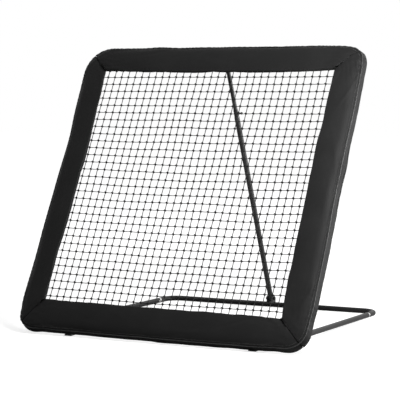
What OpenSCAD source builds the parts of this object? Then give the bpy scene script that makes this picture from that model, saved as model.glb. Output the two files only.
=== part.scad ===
// Ball rebounder: a padded square frame with a knotted net, leaning on a telescoping strut.
// X runs across the net, +Y to the rear, +Z up. The floor is z = 0 and the origin lies under
// the middle of the object. Millimetres and degrees.

/* [Window] */
// Width of the window between the side pads
opening_w = 1037; // [700:1:1500]
// Height of the window, up the slope of the frame
opening_h = 1028; // [800:1:1400]
// Lean of the frame back from upright
lean = 28.5; // [24:0.1:32]
// Height of the window's lower edge, up the slope from the floor
sill = 150; // [148:1:180]

/* [Pads] */
// Width of a pad over its bulging outer side
pad_w = 116; // [110:0.5:118]
// Depth of a pad, front to back
pad_d = 56; // [52:0.5:64]
// Radius of the corners, from the centre of the bend to the window's edge
bend_c = 7.5; // [5:0.5:20]
// Thickness of the foam panel in front of the frame tube
panel_t = 14; // [12:0.5:20]
// Rise of a pad's face over its edges
pad_crown = 3.5; // [1:0.5:6]
// How far a side pad's inner edge bows into the window
belly = 9; // [0:0.5:12]
// How far a side pad's outer side draws in at its middle
waist = 5; // [0:0.5:8]
// Depth of the long seam between a pad's face and its side
seam_depth = 17; // [14:0.5:22]
// How far that seam lies inside the pad's full width
seam_in = 7; // [3:0.5:9]
// Gap between two pads at a mitred corner
mitre_gap = 0.8; // [0.4:0.1:2]
// Width of a closure strap
strap_w = 38; // [25:1:50]
// Thickness of a closure strap
strap_t = 1.8; // [1.2:0.1:3]

/* [Frame tube] */
// Diameter of the frame tube
frame_d = 25; // [22:0.5:28]
// Distance of the frame tube's axis from the window's edge
tube_q = 51; // [48:0.5:54]
// Wall of the frame tube
frame_wall = 1.5; // [1:0.1:2.5]
// Length of the lower tube's spigot inside the upper tube
spigot_len = 60; // [40:1:100]
// Height of the frame tube's joints above the middle of the window
joint_rise = 130; // [60:1:230]

/* [Net] */
// Number of net squares across, in this solid
net_cols = 17; // [8:1:17]
// Number of net squares up the slope, in this solid
net_rows = 17; // [8:1:17]
// Width of a net strand
strand_w = 2.4; // [1.5:0.1:4]
// Width of a knot
knot_w = 6; // [5:0.1:8]
// Diameter of the border rope
rope_d = 5; // [4:0.1:7]
// How far the border rope runs under the side and lower pads
rope_tuck = 15; // [8:1:20]
// How far the border rope runs under the top pad
rope_tuck_top = 6; // [3:1:12]
// Thickness of an elastic tie
tie_t = 1.6; // [1:0.1:2]
// Width of an elastic tie
tie_w = 5; // [3:0.5:8]
// Distance of the last side tie from the window's corner
tie_corner = 62; // [50:1:90]

/* [Feet] */
// Distance of a foot from the window's side edge
foot_inset = 115; // [100:0.5:150]
// Width of a foot
foot_w = 30; // [28:1:50]
// Thickness of a foot's leg
foot_t = 7; // [5:0.5:9]
// Distance of a foot's toe behind the pads' front, along the floor
toe_set = 35; // [30:0.5:36]
// How far a foot's heel reaches behind its leg
heel_past = 16; // [6:0.5:24]
// Thickness of a foot's bottom plate
shoe_t = 2.8; // [2:0.1:3]
// Thickness of a rubber sole
sole_t = 3.2; // [2.5:0.1:3.5]

/* [Ground frame] */
// Diameter of the rear bar and the arms
base_d = 22; // [19:0.5:23]
// Wall of the rear bar and the arms
base_wall = 1.5; // [1:0.1:2.5]
// Distance of an arm from the window's side edge
arm_inset = 21.5; // [21:0.5:40]
// Length of the ground frame from its hinge to the rear bar
base_len = 969; // [900:1:1150]
// Height of the frame's hinge above the floor
hinge_h = 31; // [26:0.5:36]
// Bend radius of the rear bar's corners
bar_bend_r = 60; // [45:1:75]
// Straight leg of the rear bar past each bend
bar_leg = 48; // [38:1:80]
// Bare length of connector sleeve showing at a joint
sleeve_show = 16; // [4:0.5:18]
// Length of a connector sleeve
sleeve_len = 72; // [50:1:74]

/* [Strut] */
// Diameter of the strut's lower tube
lower_d = 22; // [21:0.5:23]
// Diameter of the strut's upper tube
upper_d = 17; // [14:0.5:17.5]
// Wall of both strut tubes
strut_wall = 1.2; // [0.8:0.1:1.6]
// Length of the lower tube above its pivot
lower_len = 888; // [820:1:930]
// Length of the lower tube's necked end
neck_len = 27; // [22:1:40]
// Length of the upper tube below its pivot
upper_len = 540; // [480:1:700]
// How far the strut's foot bracket spreads past the rear bar
foot_flare = 6; // [5.5:0.5:8]
// Height of the strut's foot pivot above the rear bar's axis
foot_pivot_h = 27; // [26.5:0.5:35]
// Rise of the strut's top pivot above the frame tube, up the slope
top_pivot_rise = 24; // [16:1:30]
// Length of tube past a pivot bolt
tube_past = 6; // [5.5:0.1:6.4]

/* [Brackets] */
// Thickness of bracket steel
ear_t = 3; // [2:0.1:4]
// Outer radius of a bracket ear round its bolt
ear_r = 13; // [12:0.5:16]
// Radius of the pivot bolts
bolt_r = 4; // [3:0.5:4]
// Clearance of the top bolt in the bracket, which the opened linkage needs
top_play = 4.2; // [4:0.1:5]

/* [Clamp screw] */
// Radius of the clamp screw
screw_r = 2.5; // [2:0.1:3]
// Radius of the ball knob
knob_r = 5.5; // [4.5:0.1:8]
// Distance of the ball knob from the strut's axis
knob_x = 25; // [21:0.5:30]
// Radius of the welded boss
boss_r = 6; // [5:0.1:7]
// Distance of the boss's end from the strut's axis
boss_x = 14; // [13:0.1:15]

/* [Fasteners] */
// Radius of the small screws
pin_r = 1.8; // [1.5:0.1:2.2]
// Head radius of the small screws
pin_head_r = 3.8; // [3.4:0.1:4.5]
// Head height of the small screws
pin_head_h = 2.2; // [1.6:0.1:3]
// Radius over the corners of the bolt heads and nuts
hex_r = 7.5; // [7:0.1:8]
// Height of a bolt head
head_h = 5.3; // [4:0.1:6]
// Height of a nut
nut_h = 6.5; // [5:0.1:7]
// Radius of the washers at the top pivot
washer_r = 13; // [12.8:0.1:14]

/* [Clearances] */
// Gap between pieces that lie against each other
seat = 0.2; // [0.1:0.05:0.3]
// Radial running clearance of the pivots, the neck and the screw
run = 0.06; // [0.03:0.01:0.1]
// Side gap between a tube and a bracket ear
side_gap = 0.4; // [0.2:0.1:0.6]

/* [Hidden] */
$fn = 48;

PVC = "#2c2c2e";
STEEL = "#1a1a1c";
ZINC = "#b9bbbd";
MOULDED = "#161618";
CORD = "#202022";

// Depths behind the faces of the pads
frame_r = frame_d / 2;
tube_depth = panel_t + 2 * seat + tie_t + frame_r;
rope_depth = panel_t + 2 * seat + tie_t + rope_d / 2;
back_gap = 0.5;

// Places across a pad, from the window's edge
channel_gap = 5;
channel_q = tube_q + frame_r + channel_gap;
frame_bend_r = bend_c + tube_q;

// Half the width of a bracket or a foot where it meets the frame tube
root = 9;

// Outline of the window and of the frame tube's axis, in the plane of the frame
half_w = opening_w / 2;
half_h = opening_h / 2;
mid_v = sill + half_h;
tube_x = half_w + tube_q;
low_v = sill - tube_q;
high_v = sill + opening_h + tube_q;
joint_v = mid_v + joint_rise;
joint_screw_v = joint_v + spigot_len / 2;
foot_x = half_w - foot_inset;
arm_x = half_w - arm_inset;

// A point of the side view as [y, z], before the origin is moved under the middle
function side(v, depth) = [
    v * sin(lean) + depth * cos(lean),
    v * cos(lean) - depth * sin(lean)
];

// Ground frame and strut in the side view
base_r = base_d / 2;
lower_r = lower_d / 2;
upper_r = upper_d / 2;
hinge_depth = pad_d + back_gap + ear_r;
hinge = [(hinge_depth + hinge_h * sin(lean)) / cos(lean), hinge_h];
hinge_v = hinge[0] * sin(lean) + hinge[1] * cos(lean);
base_rise = asin((hinge_h - base_r) / base_len);
bar = [hinge[0] + base_len * cos(base_rise), base_r];
foot_pivot = [bar[0], bar[1] + foot_pivot_h];
top_pivot_depth = pad_d + back_gap + washer_r + top_play;
top_pivot = side(high_v + top_pivot_rise, top_pivot_depth);
strut_len = norm(top_pivot - foot_pivot);
strut_lean = atan2(foot_pivot[0] - top_pivot[0], top_pivot[1] - foot_pivot[1]);

bar_joint = bar_bend_r + bar_leg;
sleeve_r = base_r - base_wall - seat / 2;
neck_r = upper_r + run + strut_wall;
neck_from = lower_len - neck_len;
cone_len = 5;
clamp_s = lower_len - neck_len / 2;
plug_t = 1;
cap_t = 1.5;
hold = 0.05;

grip_hinge = base_r + side_gap + ear_t;
grip_foot = lower_r + side_gap + ear_t;
grip_top = upper_r + side_gap + ear_t;
washer_t = 1.5;

module world() {
    translate([0, -mid_y, 0])
        children();
}

// The plane of the frame: x across, y up the slope, z out of the pads' faces
module in_frame() {
    world()
        rotate([90 - lean, 0, 0])
            children();
}

// The plane of the ground frame: origin on the rear bar's axis, y to the rear
module in_base() {
    world()
        translate([0, bar[0], bar[1]])
            rotate([-base_rise, 0, 0])
                children();
}

// The strut: origin on its foot pivot, z up along the tubes
module in_strut() {
    world()
        translate([0, foot_pivot[0], foot_pivot[1]])
            rotate([strut_lean, 0, 0])
                children();
}

module flip_x(flip) {
    mirror([flip ? 1 : 0, 0, 0])
        children();
}

module both_sides() {
    for (flip = [false, true])
        flip_x(flip)
            children();
}

// A side view's outline, given as [y, z], made into a plate from x = from to x = to
module plate(from, to) {
    translate([from, 0, 0])
        rotate([90, 0, 90])
            linear_extrude(to - from)
                children();
}

module ring(r, wall) {
    difference() {
        circle(r);
        circle(r - wall);
    }
}

module pipe(r, wall, len) {
    linear_extrude(len)
        ring(r, wall);
}

// A U of tube in the XY plane: the cross piece runs along X at y = 0 and the legs point to -Y
module u_tube(half, leg, bend_r, r, wall) {
    translate([bend_r - half, 0, 0])
        rotate([0, 90, 0])
            pipe(r, wall, 2 * (half - bend_r));
    both_sides() {
        translate([half - bend_r, -bend_r, 0])
            rotate_extrude(angle = 90)
                translate([bend_r, 0])
                    ring(r, wall);
        translate([half, -bend_r, 0])
            rotate([90, 0, 0])
                pipe(r, wall, leg - bend_r);
    }
}

// ---- Fasteners ----

// A pan-head screw whose head seats on z = 0 and whose shank points to -Z
module pan_screw(shank_len) {
    slot_half = 0.6 * pin_head_r;
    slot_w = 0.8;
    difference() {
        cylinder(r = pin_head_r, h = pin_head_h);
        for (turn = [0, 90])
            rotate([0, 0, turn])
                translate([-slot_half, -slot_w / 2, pin_head_h / 2])
                    cube([2 * slot_half, slot_w, pin_head_h]);
    }
    translate([0, 0, -shank_len])
        cylinder(r = pin_r, h = shank_len + 0.1);
}

// A hole for a pan screw, from below z = 0
module pin_hole(depth) {
    translate([0, 0, -depth])
        cylinder(r = pin_r + hold, h = depth + 1);
}

// A bolt along X through a stack that reaches grip to each side, with its head on the +X side
module bolt(grip, past) {
    rotate([0, 90, 0]) {
        translate([0, 0, -grip - past])
            cylinder(r = bolt_r, h = 2 * grip + past + seat + head_h / 2);
        translate([0, 0, grip + seat])
            cylinder(r = hex_r, h = head_h, $fn = 6);
    }
}

module nut(grip) {
    translate([-grip - seat, 0, 0])
        rotate([0, -90, 0])
            difference() {
                cylinder(r = hex_r, h = nut_h, $fn = 6);
                translate([0, 0, -1])
                    cylinder(r = bolt_r + hold, h = nut_h + 2);
            }
}

bolt_tail = seat + nut_h + 1.5;

// ---- Frame tube ----

module frame_tube_upper() {
    color(STEEL)
        in_frame()
            difference() {
                translate([0, high_v, -tube_depth])
                    u_tube(tube_x, high_v - joint_v, frame_bend_r, frame_r, frame_wall);
                joint_screw_places()
                    pin_hole(frame_r);
            }
}

module frame_tube_lower() {
    spigot_r = frame_r - frame_wall - run;
    color(STEEL)
        in_frame()
            difference() {
                union() {
                    translate([0, low_v, -tube_depth])
                        mirror([0, 1, 0])
                            u_tube(tube_x, joint_v - seat - low_v, frame_bend_r, frame_r, frame_wall);
                    both_sides()
                        translate([tube_x, joint_v - 4 * frame_wall, -tube_depth])
                            rotate([-90, 0, 0])
                                spigot(spigot_r);
                }
                joint_screw_places()
                    pin_hole(frame_r);
                foot_screw_places()
                    pin_hole(foot_screw_len + 5);
            }
}

// The swaged end of the lower tube: a collar that joins its wall, then the thinner spigot
module spigot(spigot_r) {
    collar = 4 * frame_wall - seat;
    difference() {
        union() {
            cylinder(r = frame_r - frame_wall / 2, h = collar);
            cylinder(r = spigot_r, h = collar + spigot_len);
        }
        translate([0, 0, -1])
            cylinder(r = spigot_r - frame_wall, h = collar + spigot_len + 2);
    }
}

// The screws of the frame's joints sit on the back of the side tubes
module joint_screw_places() {
    both_sides()
        translate([tube_x, joint_screw_v, -tube_depth - frame_r])
            rotate([180, 0, 0])
                children();
}

module frame_joint_screws() {
    color(ZINC)
        in_frame()
            joint_screw_places()
                pan_screw(6);
}

// ---- Net ----

rope_half = half_w + rope_tuck;
rope_low = sill - rope_tuck / 2;
rope_high = sill + opening_h + rope_tuck_top;
rope_clear = rope_d / 2 + tie_t + 3 * seat;
net_half = rope_half - rope_clear;
net_low = rope_low + rope_clear;
net_high = rope_high - rope_clear;
net_dx = 2 * net_half / net_cols;
net_dv = (net_high - net_low) / net_rows;

module net() {
    color(CORD)
        in_frame()
            translate([0, 0, -rope_depth - strand_w / 2])
                linear_extrude(strand_w)
                    difference() {
                        translate([-net_half, net_low])
                            square([2 * net_half, net_high - net_low]);
                        for (i = [0:net_cols - 1], j = [0:net_rows - 1])
                            translate([(i + 0.5) * net_dx - net_half, (j + 0.5) * net_dv + net_low])
                                mesh_hole();
                    }
}

// One square of the net, with its corners cut off where the knots sit
module mesh_hole() {
    a = net_dx / 2 - strand_w / 2;
    b = net_dv / 2 - strand_w / 2;
    c = (knot_w - strand_w) / 2;
    polygon([
        [a, c - b], [a, b - c], [a - c, b], [c - a, b],
        [-a, b - c], [-a, c - b], [c - a, -b], [a - c, -b]
    ]);
}

module net_border_rope() {
    bend = 8;
    leg = (rope_high - rope_low) / 2;
    color(CORD)
        in_frame()
            translate([0, (rope_low + rope_high) / 2, -rope_depth])
                for (turn = [0, 1])
                    mirror([0, turn, 0])
                        translate([0, leg, 0]) {
                            translate([bend - rope_half, 0, 0])
                                rotate([0, 90, 0])
                                    cylinder(r = rope_d / 2, h = 2 * (rope_half - bend));
                            both_sides() {
                                translate([rope_half - bend, -bend, 0])
                                    rotate_extrude(angle = 90)
                                        translate([bend, 0])
                                            circle(rope_d / 2);
                                translate([rope_half, -bend, 0])
                                    rotate([90, 0, 0])
                                        cylinder(r = rope_d / 2, h = leg - bend);
                            }
                        }
}

// A many-sided outline round a circle at the origin and a smaller one at [d, e]
function band_outline(d, e, big, small) =
    let (
        axis = atan2(e, d),
        tangent = acos((big - small) / norm([d, e])),
        big_step = (360 - 2 * tangent) / 6,
        small_step = 2 * tangent / 4,
        big_r = big / cos(big_step / 2),
        small_r = small / cos(small_step / 2)
    )
    concat(
        [for (k = [0.5:5.5])
            let (a = axis + tangent + big_step * k)
            [big_r * cos(a), big_r * sin(a)]],
        [for (k = [0.5:3.5])
            let (a = axis - tangent + small_step * k)
            [d + small_r * cos(a), e + small_r * sin(a)]]
    );

// An elastic tie round the tube at the origin and the rope at distance d towards +X
module tie(d) {
    e = tube_depth - rope_depth;
    big = frame_r + seat;
    small = rope_d / 2 + seat;
    translate([0, 0, -tie_w / 2])
        linear_extrude(tie_w)
            difference() {
                polygon(band_outline(d, e, big + tie_t, small + tie_t));
                polygon(band_outline(d, e, big, small));
            }
}

// The last tie of the lower side lies midway between a foot and a hinge bracket
tie_end_x = (foot_x + foot_w / 2 + arm_x - grip_hinge) / 2;
tie_end_v = half_h - tie_corner;
tie_steps = [-1, -5 / 7, -3 / 7, -1 / 7, 1 / 7, 3 / 7, 5 / 7, 1];

module net_ties() {
    color(MOULDED)
        in_frame()
            for (u = tie_steps) {
                translate([u * tie_end_x, low_v, -tube_depth])
                    rotate([90, 0, 90])
                        tie(rope_low - low_v);
                translate([u * tie_end_x, high_v, -tube_depth])
                    rotate([90, 0, 90])
                        mirror([1, 0, 0])
                            tie(high_v - rope_high);
                both_sides()
                    translate([tube_x, mid_v + u * tie_end_v, -tube_depth])
                        rotate([90, 0, 0])
                            mirror([1, 0, 0])
                                tie(tube_x - rope_half);
            }
}

// ---- Pads ----

// Section of a pad as [q, depth, rise]: q runs outward from the window's edge, and rise is how
// much of the face's swelling a point takes. It starts at the inner corner of the tube's channel,
// from which the whole section is in view, so that the end caps can be fans. The face rolls over
// from q = roll_q to the seam, and the side behind the seam bulges. The crown is a parabola over
// crown_run of its half widths, and the roll takes up what is left of it.
nose_r = panel_t / 2;
roll_q = 68;
crown_run = 1.6;
seam_q = pad_w - seam_in;
back_r = 9;
face_steps = 6;
pad_section = concat(
    [[channel_q, panel_t, 0]],
    [for (a = [90:30:270]) [nose_r + nose_r * cos(a), nose_r + nose_r * sin(a), 0]],
    [for (k = [1:face_steps])
        let (u = k / face_steps)
        [nose_r + (roll_q - nose_r) * u, 0, 1 - pow(crown_run * u - 1, 2)]],
    [for (a = [15:15:75])
        [
            roll_q + (seam_q - roll_q) * sin(a) / sin(75),
            seam_depth * (1 - cos(a)) / (1 - cos(75)),
            (1 - pow(crown_run - 1, 2)) * (1 - sin(a) / sin(75))
        ]],
    [for (k = [1:2])
        let (u = k / 3)
        [seam_q + seam_in * sin(90 * u), seam_depth + (pad_d - back_r - seam_depth) * u, 0]],
    [for (a = [0:22.5:90])
        [pad_w - back_r + back_r * cos(a), pad_d - back_r + back_r * sin(a), 0]],
    [[channel_q, pad_d, 0]]
);
crown_wave = 0.12;

// The origin's place: halfway from the lower pad's front to the strut foot bracket's back
front_y = min([
    for (p = pad_section) side(sill - p[0], p[1] - p[2] * pad_crown * (1 + crown_wave))[0]
]);
mid_y = (front_y + bar[0] + base_r + foot_flare) / 2;

straight_steps = 12;
corner_steps = 5;

// How much of the crown is left beside the mitre seam, where the cover is drawn in
function swell(k) = 1 - 0.75 * pow(k / corner_steps, 2);

// Stations along a pad: [root of the section line, angle of the line, share of the crown,
// place along the straight run from -1 to 1]
function stations(half) = concat(
    [for (k = [corner_steps:-1:1]) [bend_c - half, -45 * k / corner_steps, swell(k), -1]],
    [for (k = [0:straight_steps])
        let (u = 2 * k / straight_steps - 1)
        [u * (half - bend_c), 0, 1 + crown_wave * cos(540 * u), u]],
    [for (k = [1:corner_steps]) [half - bend_c, 45 * k / corner_steps, swell(k), 1]]
);

// How far a side pad bows towards the window: its inner edge bulges and its outer side draws in
function bow(q, u) = q < channel_q
    ? belly * (1 - pow(u, 4)) * (1 - q / channel_q)
    : waist * (1 - pow(u, 2)) * (q - channel_q) / (pad_w - channel_q);

// A section point on a station's line, for a pad whose inner edge is at y = -across
function pad_point(p, station, across, soft) =
    let (
        angle = station[1],
        stretch = bend_c * (1 / cos(angle) - 1) * max(1 - p[0] / tube_q, 0),
        reach = bend_c + p[0] + stretch - soft * bow(p[0], station[3]),
        seam = abs(angle) > 44.9 ? sign(angle) * mitre_gap / 2 : 0
    )
    [
        station[0] + reach * sin(angle) - seam,
        bend_c - across - reach * cos(angle),
        p[2] * pad_crown * station[2] - p[1]
    ];

// A pad below a window that is 2 * half wide and 2 * across high, then turned round its middle.
// soft is the share of the bow that it takes.
module pad(half, across, turn, soft) {
    line = stations(half);
    n = len(pad_section);
    m = len(line);
    skin = [
        for (i = [0:m - 2], j = [0:n - 1])
            let (a = i * n + j, b = i * n + (j + 1) % n)
            each [[a, b + n, b], [a, a + n, b + n]]
    ];
    first_cap = [for (j = [1:n - 2]) [0, j, j + 1]];
    last_cap = [for (j = [1:n - 2]) [0, j + 1, j] + (m - 1) * n * [1, 1, 1]];
    color(PVC)
        in_frame()
            translate([0, mid_v, 0])
                rotate([0, 0, turn])
                    polyhedron(
                        points = [for (s = line, p = pad_section) pad_point(p, s, across, soft)],
                        faces = concat(skin, first_cap, last_cap),
                        convexity = 6
                    );
}

module pad_bottom() { pad(half_w, half_h, 0, 0); }
module pad_right() { pad(half_h, half_w, 90, 1); }
module pad_top() { pad(half_w, half_h, 180, 0); }
module pad_left() { pad(half_h, half_w, -90, 1); }

// ---- Closure straps ----

// Straps that close a pad, at these places along it: from the panel's back past the tube's back
// to the back of the pad's outer side
module straps(places, across, turn) {
    web_q = tube_q - frame_r - 5;
    bend_d = tube_depth + frame_r + 3;
    lap_q = channel_q - 2;
    end_q = pad_w - back_r - waist - 2;
    lap = pad_d + seat;
    color(MOULDED)
        in_frame()
            translate([0, mid_v, 0])
                rotate([0, 0, turn])
                    for (x = places)
                        translate([0, -across, 0])
                            plate(x - strap_w / 2, x + strap_w / 2)
                                polygon([
                                    [-web_q, -panel_t - seat], [-web_q, -bend_d], [-lap_q, -lap],
                                    [-end_q, -lap], [-end_q, -lap - strap_t],
                                    [-lap_q, -lap - strap_t], [strap_t - web_q, -bend_d - strap_t],
                                    [strap_t - web_q, -panel_t - seat]
                                ]);
}

strap_x = tie_end_x * 2 / 7;
side_straps = [-tie_end_v * 4 / 7, 0, tie_end_v * 4 / 7];

module straps_top() { straps([-3 * strap_x, -strap_x, strap_x, 3 * strap_x], half_h, 180); }
module straps_bottom() { straps([-2 * strap_x, 0, 2 * strap_x], half_h, 0); }
module straps_left() { straps(side_straps, half_w, -90); }
module straps_right() { straps(side_straps, half_w, 90); }

// ---- Feet ----

leg_depth = pad_d + back_gap;
saddle_r = frame_r + 0.1;
saddle_t = 4;
shoe_z = sole_t + shoe_t;
toe_y = front_y + toe_set;
leg_back = leg_depth + foot_t;
heel_y = side((shoe_z + leg_back * sin(lean)) / cos(lean), leg_back)[0] + heel_past;
foot_screw_len = leg_back - tube_depth - frame_r + 5;

// The screw of a foot goes through its leg into the tube
module foot_screw_places() {
    both_sides()
        translate([foot_x, low_v, -leg_back])
            rotate([180, 0, 0])
                children();
}

// A moulded foot: a saddle behind the frame tube, a leg behind the pad and, a little wider than
// both, a shoe under the pad
module foot(flip) {
    below = 200;
    leg_half = foot_w / 2 - 1;
    color(MOULDED)
        flip_x(flip)
            difference() {
                union() {
                    in_frame()
                        plate(foot_x - leg_half, foot_x + leg_half)
                            leg_outline();
                    world()
                        plate(foot_x - foot_w / 2, foot_x + foot_w / 2)
                            shoe_outline();
                }
                world()
                    translate([0, -below, sole_t - below])
                        cube([2 * half_w, 3 * below, below]);
                in_frame()
                    foot_screw_places()
                        pin_hole(foot_screw_len);
            }
}

// Side view of a foot's saddle and leg, in the plane of the frame: [v, -depth]
module leg_outline() {
    below = 20;
    difference() {
        union() {
            translate([low_v, -tube_depth])
                circle(saddle_r + saddle_t);
            translate([-below, -leg_back])
                square([low_v + root + below, foot_t]);
            translate([low_v - root, -leg_depth - 1])
                square([2 * root, leg_depth + 1 - tube_depth]);
        }
        translate([low_v, -tube_depth])
            circle(saddle_r);
        translate([low_v - frame_d, saddle_t - tube_depth])
            square(2 * frame_d);
    }
}

// Side view of a foot's shoe, before it is cut off over the sole: [y, z]
module shoe_outline() {
    slant = shoe_t / 2;
    polygon([
        [toe_y, 0], [heel_y, 0], [heel_y, shoe_z - slant], [heel_y - slant, shoe_z],
        [toe_y + slant, shoe_z], [toe_y, shoe_z - slant]
    ]);
}

module foot_left() { foot(true); }
module foot_right() { foot(false); }

module foot_sole(flip) {
    groove = 3;
    spare = 1;
    color(MOULDED)
        flip_x(flip)
            world()
                difference() {
                    translate([foot_x - foot_w / 2 - spare, toe_y - spare, 0])
                        cube([foot_w + 2 * spare, heel_y - toe_y + 2 * spare, sole_t]);
                    for (k = [1, 2])
                        translate([
                            foot_x - foot_w,
                            toe_y + (heel_y - toe_y) * k / 3 - groove / 2,
                            -1
                        ])
                            cube([2 * foot_w, groove, 2]);
                }
}

module foot_sole_left() { foot_sole(true); }
module foot_sole_right() { foot_sole(false); }

module foot_screws() {
    color(ZINC)
        in_frame()
            foot_screw_places()
                pan_screw(foot_screw_len);
}

// ---- Brackets ----

// Profile of an ear from the back of the frame tube (at the origin, depth up) to a bolt at pivot
module ear_profile(pivot, hole_r) {
    from = 0.7 * frame_r;
    back = pad_d + back_gap - tube_depth;
    along = (pivot - [0, back]) / norm(pivot - [0, back]);
    across = 0.97 * ear_r * [along[1], -along[0]];
    difference() {
        union() {
            polygon([
                [-root, from], [root, from], [root, back],
                pivot + across, pivot - across, [-root, back + 5]
            ]);
            translate(pivot)
                circle(ear_r);
        }
        circle(frame_r + hold);
        translate(pivot)
            circle(hole_r);
    }
}

// A bracket of two ears and a web on the back of the frame tube, at the window's outer side
module tube_bracket(pivot, gap, hole_r) {
    for (from = [-gap - ear_t, gap])
        plate(from, from + ear_t)
            ear_profile(pivot, hole_r);
    plate(-gap - ear_t / 2, gap + ear_t / 2)
        difference() {
            translate([-root, frame_r - ear_t])
                square(2 * [root, ear_t]);
            circle(frame_r + hold);
        }
}

module top_bracket() {
    color(STEEL)
        in_frame()
            translate([0, high_v, -tube_depth])
                mirror([0, 0, 1])
                    tube_bracket(
                        [top_pivot_rise, top_pivot_depth - tube_depth],
                        upper_r + side_gap,
                        bolt_r + top_play
                    );
}

module hinge_bracket(flip) {
    color(STEEL)
        flip_x(flip)
            in_frame()
                translate([arm_x, low_v, -tube_depth])
                    mirror([0, 1, 0])
                        mirror([0, 0, 1])
                            tube_bracket(
                                [low_v - hinge_v, hinge_depth - tube_depth],
                                base_r + side_gap,
                                bolt_r + run
                            );
}

module hinge_bracket_left() { hinge_bracket(true); }
module hinge_bracket_right() { hinge_bracket(false); }

// A channel across the rear bar: two ears, a saddle on the bar and a web that closes its back
module strut_foot_bracket() {
    gap = lower_r + side_gap;
    spread = base_r + foot_flare;
    web_h = foot_pivot_h - 3;
    color(STEEL)
        world()
            translate([0, bar[0], bar[1]]) {
                for (from = [-gap - ear_t, gap])
                    plate(from, from + ear_t)
                        difference() {
                            union() {
                                polygon([
                                    [-spread, 1], [spread, 1], [spread, web_h],
                                    [0.97 * ear_r, foot_pivot_h], [-0.97 * ear_r, foot_pivot_h]
                                ]);
                                translate([0, foot_pivot_h])
                                    circle(ear_r);
                            }
                            circle(base_r + hold);
                            translate([0, foot_pivot_h])
                                circle(bolt_r + hold);
                        }
                plate(-gap - ear_t / 2, gap + ear_t / 2) {
                    difference() {
                        circle(base_r + ear_t);
                        circle(base_r + hold);
                        translate([-2 * base_r, -2 * base_r + 2])
                            square([4 * base_r, 2 * base_r]);
                    }
                    translate([spread - ear_t, 3])
                        square([ear_t, web_h - 5]);
                }
            }
}

// ---- Ground frame ----

// The screws of the ground frame's joints sit on the inner sides of the tubes
module arm_screw_places() {
    both_sides()
        for (k = [-1, 1])
            translate([arm_x - base_r, k * sleeve_len / 4 - bar_joint, 0])
                rotate([0, -90, 0])
                    children();
}

module rear_bar() {
    color(STEEL)
        in_base()
            difference() {
                u_tube(arm_x, bar_joint - sleeve_show / 2, bar_bend_r, base_r, base_wall);
                arm_screw_places()
                    pin_hole(base_r);
            }
}

module base_arm(flip) {
    color(STEEL)
        in_base()
            flip_x(flip)
                difference() {
                    translate([arm_x, -bar_joint - sleeve_show / 2, 0])
                        rotate([90, 0, 0])
                            pipe(base_r, base_wall, base_len + tube_past - bar_joint - sleeve_show / 2);
                    arm_screw_places()
                        pin_hole(base_r);
                    hinge_hole();
                }
}

// The cross hole for a hinge bolt at the front end of an arm
module hinge_hole() {
    translate([arm_x - base_d, -base_len, 0])
        rotate([0, 90, 0])
            cylinder(r = bolt_r + hold, h = 2 * base_d);
}

module base_arm_left() { base_arm(true); }
module base_arm_right() { base_arm(false); }

module arm_sleeve(flip) {
    color(ZINC)
        in_base()
            flip_x(flip)
                difference() {
                    translate([arm_x, sleeve_len / 2 - bar_joint, 0])
                        rotate([90, 0, 0])
                            pipe(sleeve_r, base_wall, sleeve_len);
                    arm_screw_places()
                        pin_hole(base_r);
                }
}

module arm_sleeve_left() { arm_sleeve(true); }
module arm_sleeve_right() { arm_sleeve(false); }

module arm_joint_screws() {
    color(ZINC)
        in_base()
            arm_screw_places()
                pan_screw(base_wall * 2 + 2);
}

// A plug in an open tube end. The tube's end is at z = 0 and the tube is below it.
module plug(r, wall, disc_t, insert) {
    cylinder(r = r, h = disc_t);
    translate([0, 0, -insert])
        cylinder(r = r - wall - seat / 2, h = insert + 0.1);
}

module arm_cap(flip) {
    color(MOULDED)
        in_base()
            flip_x(flip)
                translate([arm_x, -base_len - tube_past, 0])
                    rotate([90, 0, 0])
                        plug(base_r, base_wall, cap_t, tube_past - bolt_r - 2 * hold);
}

module arm_cap_left() { arm_cap(true); }
module arm_cap_right() { arm_cap(false); }

module hinge_place(flip) {
    flip_x(flip)
        world()
            translate([arm_x, hinge[0], hinge[1]])
                children();
}

module hinge_bolt_left() {
    color(ZINC)
        hinge_place(true)
            bolt(grip_hinge, bolt_tail);
}

module hinge_bolt_right() {
    color(ZINC)
        hinge_place(false)
            bolt(grip_hinge, bolt_tail);
}

module hinge_nuts() {
    color(ZINC)
        for (flip = [false, true])
            hinge_place(flip)
                nut(grip_hinge);
}

// ---- Strut ----

module strut_foot_bolt() {
    color(ZINC)
        in_strut()
            bolt(grip_foot, bolt_tail);
}

module strut_foot_nut() {
    color(ZINC)
        in_strut()
            nut(grip_foot);
}

module strut_lower_tube() {
    bore = lower_r - strut_wall;
    neck_bore = upper_r + run;
    color(STEEL)
        in_strut()
            difference() {
                rotate_extrude()
                    polygon([
                        [bore, -tube_past], [lower_r, -tube_past], [lower_r, neck_from - cone_len],
                        [neck_r, neck_from], [neck_r, lower_len], [neck_bore, lower_len],
                        [neck_bore, neck_from], [bore, neck_from - cone_len]
                    ]);
                translate([-lower_d, 0, 0])
                    rotate([0, 90, 0])
                        cylinder(r = bolt_r + run, h = 2 * lower_d);
                translate([0, 0, clamp_s])
                    rotate([0, 90, 0])
                        cylinder(r = screw_r + run, h = lower_d);
            }
}

module strut_foot_plug() {
    color(MOULDED)
        in_strut()
            translate([0, 0, -tube_past])
                mirror([0, 0, 1])
                    plug(lower_r, strut_wall, plug_t, tube_past - bolt_r - 3 * hold);
}

module clamp_boss() {
    color(STEEL)
        in_strut()
            translate([0, 0, clamp_s])
                difference() {
                    rotate([0, 90, 0])
                        cylinder(r = boss_r, h = boss_x);
                    translate([0, 0, -boss_r - 1])
                        cylinder(r = neck_r + hold, h = 2 * boss_r + 2);
                    rotate([0, 90, 0])
                        cylinder(r = screw_r + run, h = boss_x + 1);
                }
}

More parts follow.
